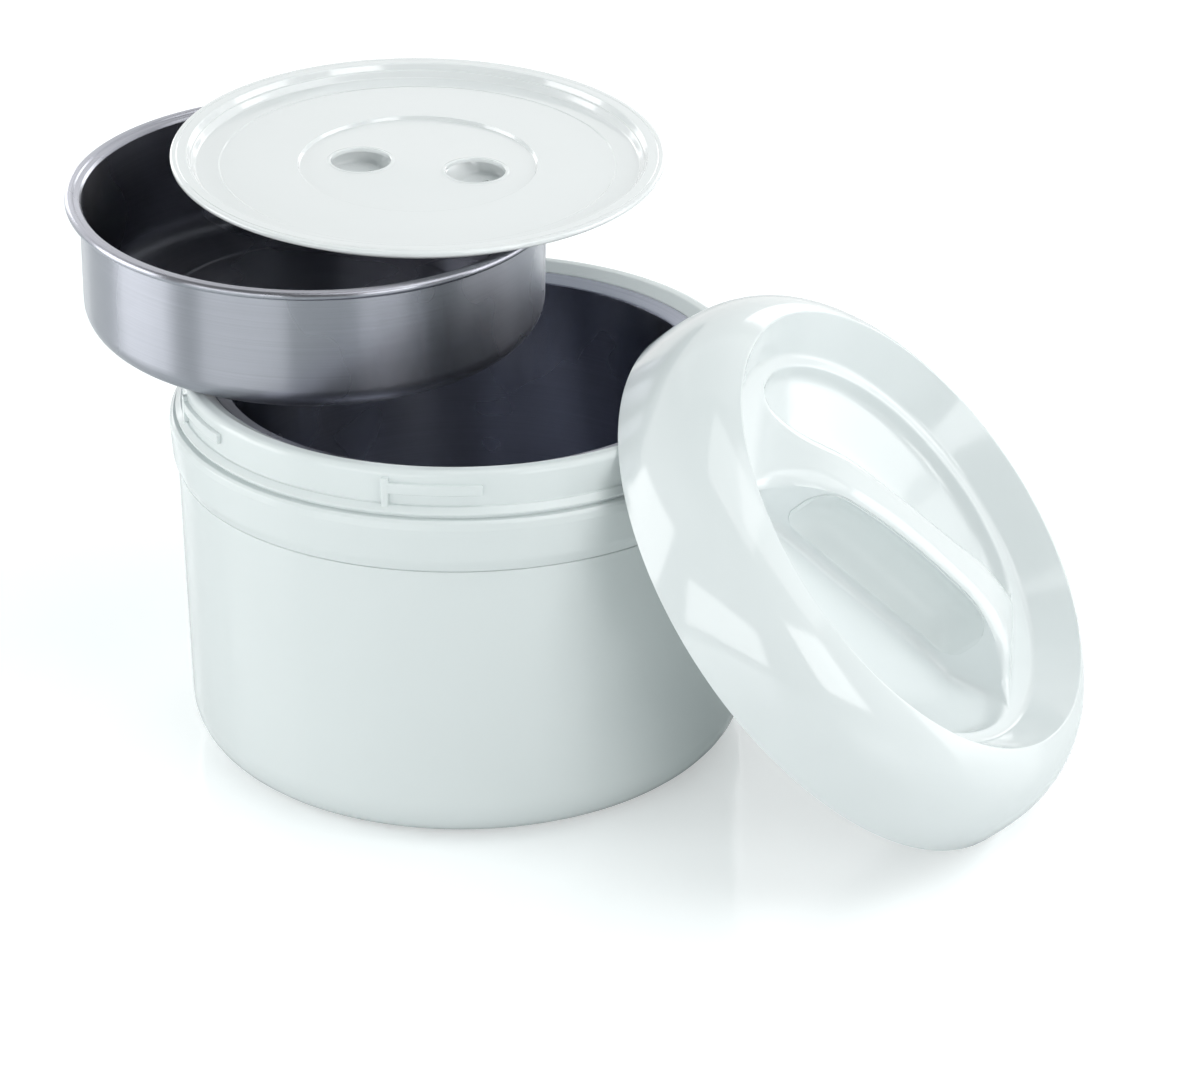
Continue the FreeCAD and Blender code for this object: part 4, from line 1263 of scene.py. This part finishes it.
def flank_point(q, side, v):
    """A point of the flank, the fillet and the crown; v is 0 at the ridge and 1 at the foot."""
    chord = chord_at(RING_RADIUS, q)
    foot = min(bar_foot(q), chord)
    ridge = min(bar_ridge(q), chord)
    floor = well_height(foot, q)
    height = max(bar_top(ridge, q) - floor, 0.0)
    crown = (CROWN + FLARE_CROWN * smooth(*FLARE, abs(q))) * min(1.0, height / FULL_HEIGHT)
    fillet = min(FILLET, 0.4 * height, max(chord - foot, 0.0) * 0.5)
    head = floor + height - crown
    tail = floor + fillet
    p = ridge + (foot - ridge) * v - scoop_depth(q, side, v)
    return p, head + (min(tail, head) - head) * v, fillet, crown


def half_row(q, side):
    """Points (across, height) of one half of a row, from the middle to the ring."""
    chord = chord_at(RING_RADIUS, q)
    ridge, _, fillet, crown = flank_point(q, side, 0.0)
    foot = min(bar_foot(q), chord)
    edge = min(EDGE + FLARE_EDGE * smooth(*FLARE, abs(q)), EDGE_SHARE * ridge)
    points = []
    for t in TOP_SHARES:
        p = t * (ridge - edge)
        points.append((p, bar_top(p, q)))
    for k in range(1, EDGE_STEPS + 1):
        t = k / EDGE_STEPS
        p = ridge - edge + edge * t
        points.append((p, bar_top(p, q) - crown * t ** CROWN_POWER))
    for k in range(1, FLANK_STEPS + 1):
        points.append(flank_point(q, side, k / FLANK_STEPS)[:2])
    for k in range(1, FILLET_STEPS + 1):
        angle = math.pi / 2 * k / FILLET_STEPS
        p = foot + fillet * (1 - math.cos(angle))
        points.append((p, well_height(min(p, chord), q) + fillet * (1 - math.sin(angle))))
    for circle in WELL_CIRCLES:
        p = min(max(chord_at(circle, q), foot + fillet), chord)
        points.append((p, well_height(p, q)))
    points[-1] = (chord, -DISH_DROP)
    return points


def dish_rows():
    """All rows, as lists of points in millimetres that run from -X to +X."""
    rows = []
    for k in range(RING_COUNT // 2 + 1):
        angle = 2 * math.pi * (k - RING_COUNT / 4) / RING_COUNT
        q = RING_RADIUS * math.sin(angle)
        left = [(-p, q, z) for p, z in half_row(q, -1)]
        right = [(p, q, z) for p, z in half_row(q, 1)]
        rows.append(left[::-1] + right[1:])
    return rows


rows = dish_rows()
print(len(rows), "rows of", len(rows[0]), "points")

# %% [markdown]
# Ring and dish are joined into one skin. The ends of the bar, where the flank runs along the
# ledge, are relaxed a little, so that they flow into it without a crease. Then the skin gets
# its wall.

# %% Outer lid: join the ring and the dish, then give the shell its wall
BAR_END = 50.0
RELAX_ROUNDS = 8
RELAX_SHARE = 0.5
LID_WALL = 1.4


def wall_on(piece, thickness):
    """Gives a skin its wall, on the inner side."""
    wall = piece.modifiers.new("Wall", "SOLIDIFY")
    wall.thickness = thickness * MM
    wall.offset = -1.0


work = bmesh.new()
work.from_mesh(lid_ring.data)
grid = [[work.verts.new((p * MM, q * MM, z * MM)) for p, q, z in row] for row in rows]
bridge(work, grid)
bmesh.ops.remove_doubles(work, verts=work.verts, dist=3e-5)
bmesh.ops.dissolve_degenerate(work, edges=work.edges, dist=1e-5)
bar_ends = [
    vert for vert in work.verts
    if abs(vert.co.y) > BAR_END * MM and vert.co.xy.length < (RING_RADIUS + 1.0) * MM
]
for _ in range(RELAX_ROUNDS):
    bmesh.ops.smooth_vert(
        work, verts=bar_ends, factor=RELAX_SHARE,
        use_axis_x=True, use_axis_y=True, use_axis_z=True,
    )
bmesh.ops.recalc_face_normals(work, faces=work.faces)
top_face = max(work.faces, key=lambda face: face.calc_center_median().z)
if top_face.normal.z < 0:
    bmesh.ops.reverse_faces(work, faces=work.faces)
open_edges = [edge for edge in work.edges if len(edge.link_faces) == 1]
print("open edges:", len(open_edges), "of which the foot has", RING_COUNT)
outer_lid = add_object("outer_lid", mesh_from(work, "outer_lid", LID_PLASTIC))
bpy.data.objects.remove(lid_ring)
wall_on(outer_lid, LID_WALL)
outer_lid.data = finish_mesh(applied(outer_lid), LID_POSE, recalculate=False)
print("outer_lid:", len(outer_lid.data.polygons), "faces")

# %% [markdown]
# A thin glossy insert lines each scooped flank. It is laid on the flank as a patch with rounded
# ends, a few tenths proud of it, so that its edge reads as a fine parting line.

# %% Grip inserts
PROUD = 0.45
INSERT_WALL = 1.0
INSERT_EDGE = 0.3
INSERT_CORNER = 9.5
INSERT_TALL = 25.0
INSERT_TOP, INSERT_FOOT = 0.02, 0.985
ACROSS, UP = 110, 36


def close_at_ends(k, count):
    """Shares from 0 to 1 that lie closer together near both ends."""
    return 0.5 - 0.5 * math.cos(math.pi * k / count)


def insert(name, side):
    """A patch that follows one flank, with rounded corners and a thin wall."""
    start, end = SCOOP_ENDS
    work = bmesh.new()
    grid = []
    for i in range(ACROSS + 1):
        along = start + (end - start) * close_at_ends(i, ACROSS)
        near = min(along - start, end - along)
        inward = max(INSERT_CORNER - near, 0.0)
        rounding = INSERT_CORNER - math.sqrt(max(INSERT_CORNER ** 2 - inward ** 2, 0.0))
        margin = rounding / INSERT_TALL
        q = -side * along
        row = []
        for j in range(UP + 1):
            share = margin + (1 - 2 * margin) * close_at_ends(j, UP)
            v = INSERT_TOP + (INSERT_FOOT - INSERT_TOP) * share
            p, z = flank_point(q, side, v)[:2]
            row.append(work.verts.new((side * (p + PROUD) * MM, q * MM, z * MM)))
        grid.append(row)
    bridge(work, grid)
    bmesh.ops.recalc_face_normals(work, faces=work.faces)
    middle = min(work.faces, key=lambda face: abs(face.calc_center_median().y))
    if middle.normal.x * side < 0:
        bmesh.ops.reverse_faces(work, faces=work.faces)
    piece = add_object(name, mesh_from(work, name, PAD_PLASTIC))
    wall_on(piece, INSERT_WALL)
    soften = piece.modifiers.new("Soft edge", "BEVEL")
    soften.width = INSERT_EDGE * MM
    soften.segments = 3
    soften.limit_method = "ANGLE"
    piece.data = finish_mesh(applied(piece), LID_POSE, recalculate=False)
    print(f"{name}: {len(piece.data.polygons)} faces")
    return piece


insert_front = insert("flank_insert_front", -1)
insert_back = insert("flank_insert_back", 1)

# %% [markdown]
# The bar is filled with a block of foam. It is never seen, but it has to stay inside the scooped
# flanks, so it is lofted along the bar from the same rules as the flanks.

# %% Foam block inside the bar
CORE_GAP = 1.9
CORE_END = 48.0
CORE_ROWS = 49
FLANK_SHARES = (0.2, 0.35, 0.5, 0.65)


def core_row(q):
    """Four corners of the block at one place along the bar."""
    inner = min(flank_point(q, side, v)[0] for side in (-1, 1) for v in FLANK_SHARES)
    half = max(inner - CORE_GAP, 1.0)
    foot, head = -WELL_FLOOR, arch_height(q) - CROWN - CORE_GAP
    return [(-half, q, foot), (half, q, foot), (half, q, head), (-half, q, head)]


work = bmesh.new()
core = [
    [work.verts.new(tuple(v * MM for v in corner)) for corner in core_row(q)]
    for q in np.linspace(-CORE_END, CORE_END, CORE_ROWS)
]
bridge(work, core, closed=True)
work.faces.new(core[0])
work.faces.new(core[-1])
mesh = mesh_from(work, "bar_foam", WHITE_FOAM)
bar_foam = add_object("bar_foam", finish_mesh(mesh, LID_POSE))
print("bar_foam:", len(mesh.polygons), "faces")

# %% [markdown]
# Under the lid a second moulding lines it. It has the seat of the seal between two ribs, a plug
# that follows the wells, and a skirt with six tabs that pass under the neck's lugs. The seal is
# a soft ring with two rounded lips.

# %% Lining with its tabs
LINING_WALL = 1.2
TAB_TURN = 14.0
TAB_HEIGHT = 3.0
deck = SEAL_HEAD + 0.3
seal_middle = SEAL_OUTER - 3.9
bulge_height = deck + LINING_WALL - 7.5
plug_mouth = RING_RADIUS - 2.5
plug_edge = RING_RADIUS - 21.8
plug_foot = LINING_HEAD - 9.8
rib_foot = deck - 1.8

lining = turned("lid_lining_skin", [
    (0, plug_foot),
    (plug_edge, plug_foot, 4.0),
    (plug_mouth, LINING_HEAD, 1.5),
    (LINING_RADIUS - 1.6, LINING_HEAD, 1.5),
    (LINING_RADIUS - 0.3, bulge_height, 2.0),
    (LINING_RADIUS, LINING_FOOT, 0.4),
    (LINING_RADIUS - LINING_WALL, LINING_FOOT, 0.4),
    (LINING_RADIUS - 0.3 - LINING_WALL, bulge_height, 2.0),
    (LINING_RADIUS - 1.6 - LINING_WALL, deck, 1.2),
    (seal_middle + 5.2, deck, 0.5),
    (seal_middle + 5.2, rib_foot, 0.4),
    (seal_middle + 4.2, rib_foot, 0.4),
    (seal_middle + 4.2, deck),
    (seal_middle - 4.2, deck),
    (seal_middle - 4.2, rib_foot, 0.4),
    (seal_middle - 5.2, rib_foot, 0.4),
    (seal_middle - 5.2, deck, 0.5),
    (plug_mouth, deck, 2.0),
    (plug_edge, plug_foot - LINING_WALL, 5.0),
    (0, plug_foot - LINING_WALL),
], LINING_PLASTIC, pose=LID_POSE)

tab_foot = LINING_FOOT + 0.2
tab_outer = LINING_RADIUS - LINING_WALL + 0.5
tabs = repeated("lid_tabs", [
    curved_block(
        "tab", neck_radius + 0.6, tab_outer, -TAB_TURN / 2, TAB_TURN,
        tab_foot, tab_foot + TAB_HEIGHT, 0.5,
    ),
], LUG_COUNT, 0.0, LINING_PLASTIC, pose=LID_POSE)

# %% [markdown]
# The seal sits in the lining's seat. Its two lips are meant to press on the crown of
# the pot's neck, so it is drawn with a shallow groove between two rounded feet.

# %% Lid seal
seal = turned("lid_seal_ring", [
    (seal_middle - 3.9, SEAL_HEAD, 0.4),
    (seal_middle + 3.9, SEAL_HEAD, 0.4),
    (seal_middle + 3.9, SEAL_FOOT, 1.2),
    (seal_middle + 1.6, SEAL_FOOT, 1.2),
    (seal_middle + 0.6, SEAL_FOOT + 1.3, 0.8),
    (seal_middle - 0.6, SEAL_FOOT + 1.3, 0.8),
    (seal_middle - 1.6, SEAL_FOOT, 1.2),
    (seal_middle - 3.9, SEAL_FOOT, 1.2),
], SEAL_RUBBER, pose=LID_POSE, closed=True, segments=192)

# %% [markdown]
# ## Bodies, slots and hidden parts
#
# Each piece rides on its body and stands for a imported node. What no one sees, such as the foam
# and the seals inside the pot, stays as packed and gets a finish of its own kind.

# %% What each piece rides on, stands for and is made of
PIECES = [
    (pot_body, "pot", "white_plastic", ["outer_shell"]),
    (pad, "pot", "seal", ["non_slip_pad"]),
    (pot_collar, "pot", "white_plastic", ["shoulder_collar"]),
    (neck, "pot", "white_plastic", ["neck_ring"]),
    (lugs, "pot", "white_plastic", ["neck_ring"]),
    (tank, "pot", "steel", ["liner_tank"]),
    (bowl, "bowl", "steel", ["bowl"]),
    (plate, "inner_lid", "white_plastic", ["inner_lid_plate"]),
    (pocket_left, "inner_lid", "white_plastic", ["finger_cup_left"]),
    (pocket_right, "inner_lid", "white_plastic", ["finger_cup_right"]),
    (gate_left, "inner_lid", "white_plastic", ["finger_cup_left"]),
    (gate_right, "inner_lid", "white_plastic", ["finger_cup_right"]),
    (seal, "lid_seal", "seal", ["lid_gasket"]),
    (outer_lid, "lid", "lid_plastic", ["lid_shell"]),
    (insert_front, "lid", "insert_plastic", ["grip_insert_front"]),
    (insert_back, "lid", "insert_plastic", ["grip_insert_back"]),
    (bar_foam, "lid", "foam", ["grip_core"]),
    (lining, "lid", "lining_plastic", ["lid_lining"]),
    (tabs, "lid", "lining_plastic", ["lid_lining"]),
]
HIDDEN = {
    "collar_seal": SEAL_RUBBER,
    "liner_gasket": SEAL_RUBBER,
    "wall_insulation": WHITE_FOAM,
    "floor_insulation": WHITE_FOAM,
    "lid_foam": WHITE_FOAM,
}
for piece, body, slot_name, nodes in PIECES:
    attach(piece, body)
    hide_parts(*nodes)
for node, material in HIDDEN.items():
    hidden = frame["nodes"][node]
    for holder in hidden.material_slots:
        holder.material = material
    if not hidden.material_slots:
        hidden.data.materials.append(material)
print(len(PIECES), "pieces and", len(HIDDEN), "packed nodes")

# %% [markdown]
# ## Studio
#
# The set stands on a pale glossy floor in front of a white backdrop. The floor is a stage, not a
# part of the object. Its own colour stays plain, and only what the camera sees of it is lifted
# to white: a little near the object, so that the soft contact shadow stays, and fully far away,
# where the lamps no longer reach.

# %% Floor
FLOOR_SIZE = 1.7
FLOOR_GAP = 0.0001
FLOOR_LIFT = 0.35
FLOOR_FADE = (0.6, 1.2)


def floor_material():
    """White glossy floor that reads as white where no shadow falls."""
    material = plastic(
        "studio_floor", (0.86, 0.88, 0.885), gloss=0.12, handling=0.02, ripple=0.2, relief=0.0001
    )
    tree = material.node_tree
    where = add_node(tree, "ShaderNodeTexCoord").outputs["Object"]
    away = add_node(tree, "ShaderNodeVectorMath", {0: where}, operation="LENGTH")
    amount = spread(tree, away.outputs["Value"], FLOOR_LIFT, 1.0, *FLOOR_FADE)
    rays = add_node(tree, "ShaderNodeLightPath")
    fill_inputs(tree, tree.nodes["Principled BSDF"], {
        "Emission Color": (1.0, 1.0, 1.0, 1),
        "Emission Strength": combine(tree, "MULTIPLY", rays.outputs["Is Camera Ray"], amount),
    })
    return material


work = bmesh.new()
bmesh.ops.create_grid(work, x_segments=8, y_segments=8, size=FLOOR_SIZE)
mesh = mesh_from(work, "studio_floor", floor_material())
mesh.transform(Matrix.Translation((0, 0, cad_box[0][2] - FLOOR_GAP)))
floor = add_object("studio_floor", mesh)
print("floor:", len(mesh.polygons), "faces")

# %% [markdown]
# The backdrop is the world. The camera sees it white all round. Mirror-like surfaces see it
# white behind the set and dim overhead and behind the camera, where a studio is dark: that is
# what makes the steel deep and gives the glossy lid its tones. For light on the object the
# world is a plain, even fill, a little greener than the lamps.

# %% World
FILL = 0.34
BACKDROP = 1.15
DARK_STUDIO = 0.2
FILL_TINT = (0.86, 1.0, 0.99, 1)
WHITE = (1.0, 1.0, 1.0, 1)


def studio_world():
    """White backdrop, a dim studio in front of it for reflections, and an even fill."""
    world = bpy.data.worlds.new("studio")
    world.use_nodes = True
    tree = world.node_tree
    direction = add_node(tree, "ShaderNodeTexCoord").outputs["Generated"]
    parts = add_node(tree, "ShaderNodeSeparateXYZ", {"Vector": direction})
    upward = spread(tree, parts.outputs["Z"], BACKDROP, DARK_STUDIO, 0.5, 0.85)
    behind = spread(tree, parts.outputs["Y"], DARK_STUDIO, BACKDROP, -0.45, 0.15)
    reflected = combine(tree, "MINIMUM", upward, behind)
    rays = add_node(tree, "ShaderNodeLightPath")
    seen, glossy = rays.outputs["Is Camera Ray"], rays.outputs["Is Glossy Ray"]
    lit = mixed(tree, glossy, FILL, reflected)
    plain_rays = combine(tree, "MAXIMUM", seen, glossy)
    fill_inputs(tree, tree.nodes["Background"], {
        "Color": mixed(tree, plain_rays, FILL_TINT, WHITE, "RGBA"),
        "Strength": mixed(tree, seen, lit, 1.0),
    })
    bpy.context.scene.world = world


studio_world()
print("world", bpy.context.scene.world.name)

# %% [markdown]
# Softboxes stand round the set, most of them low, because upright walls show what stands beside
# them. Brushed steel draws each box out into an upright band, so the boxes' widths matter: the
# wide one at the front left gives the bowl its bright band, and the narrow ones thin streaks.

# %% Softboxes
BOX_DISTANCE = 1.3
AIM_HEIGHT = 0.1
SOFTBOXES = {
    "left_box": (180, 12, 0.8, 0.8, 5.8),
    "front_left_box": (-127, 7, 1.0, 0.4, 3.4),
    "front_right_box": (-58, 18, 0.6, 0.6, 3.4),
    "right_box": (0, 12, 0.8, 0.8, 4.4),
    "right_high_box": (-20, 50, 0.8, 0.8, 2.6),
    "top_box": (-40, 74, 0.8, 0.8, 2.9),
    "back_right_box": (62, 18, 0.4, 0.6, 1.5),
    "back_left_box": (122, 18, 0.4, 0.6, 1.6),
    "back_high_box": (85, 55, 1.2, 0.7, 1.2),
}
(low_x, low_y, _), (high_x, high_y, _) = cad_box


def softbox(name, azimuth, elevation, width, height, power):
    """A rectangular lamp at a direction from the middle of the set, in degrees, facing it."""
    middle = Vector(((low_x + high_x) / 2, (low_y + high_y) / 2, AIM_HEIGHT))
    azimuth, elevation = math.radians(azimuth), math.radians(elevation)
    away = Vector((
        math.cos(azimuth) * math.cos(elevation),
        math.sin(azimuth) * math.cos(elevation),
        math.sin(elevation),
    ))
    lamp = bpy.data.lights.new(name, "AREA")
    lamp.shape = "RECTANGLE"
    lamp.size, lamp.size_y = width, height
    lamp.energy = power
    holder = add_object(name, lamp)
    turn = away.to_track_quat("Z", "Y").to_matrix().to_4x4()
    holder.matrix_world = Matrix.Translation(middle + away * BOX_DISTANCE) @ turn


for box_name, values in SOFTBOXES.items():
    softbox(box_name, *values)
print(len(SOFTBOXES), "softboxes")

# %% [markdown]
# The camera looks down on the set from the front. A long lens from further away keeps the round
# pieces in proportion.

# %% Camera
YAW, PITCH, ROLL = math.radians(2.055), math.radians(25.706), math.radians(-0.216)
LENS = 116.5
CAMERA_PLACE = (0, -1.2703, 0.6829)

camera_data = bpy.data.cameras.new("studio_camera")
camera_data.sensor_width = 36.0
camera_data.lens = LENS
camera_data.clip_start = 0.05
camera = add_object("studio_camera", camera_data)
forward = Vector((
    math.sin(YAW) * math.cos(PITCH),
    math.cos(YAW) * math.cos(PITCH),
    -math.sin(PITCH),
))
level = Vector((math.cos(YAW), -math.sin(YAW), 0))
above = level.cross(forward)
right = math.cos(ROLL) * level + math.sin(ROLL) * above
up = -math.sin(ROLL) * level + math.cos(ROLL) * above
frame_of_view = Matrix((right, up, -forward)).transposed().to_4x4()
camera.matrix_world = Matrix.Translation(CAMERA_PLACE) @ frame_of_view
bpy.context.scene.camera = camera
bpy.context.scene.view_settings.view_transform = "Standard"
print("camera at", CAMERA_PLACE, "with a lens of", LENS, "mm")
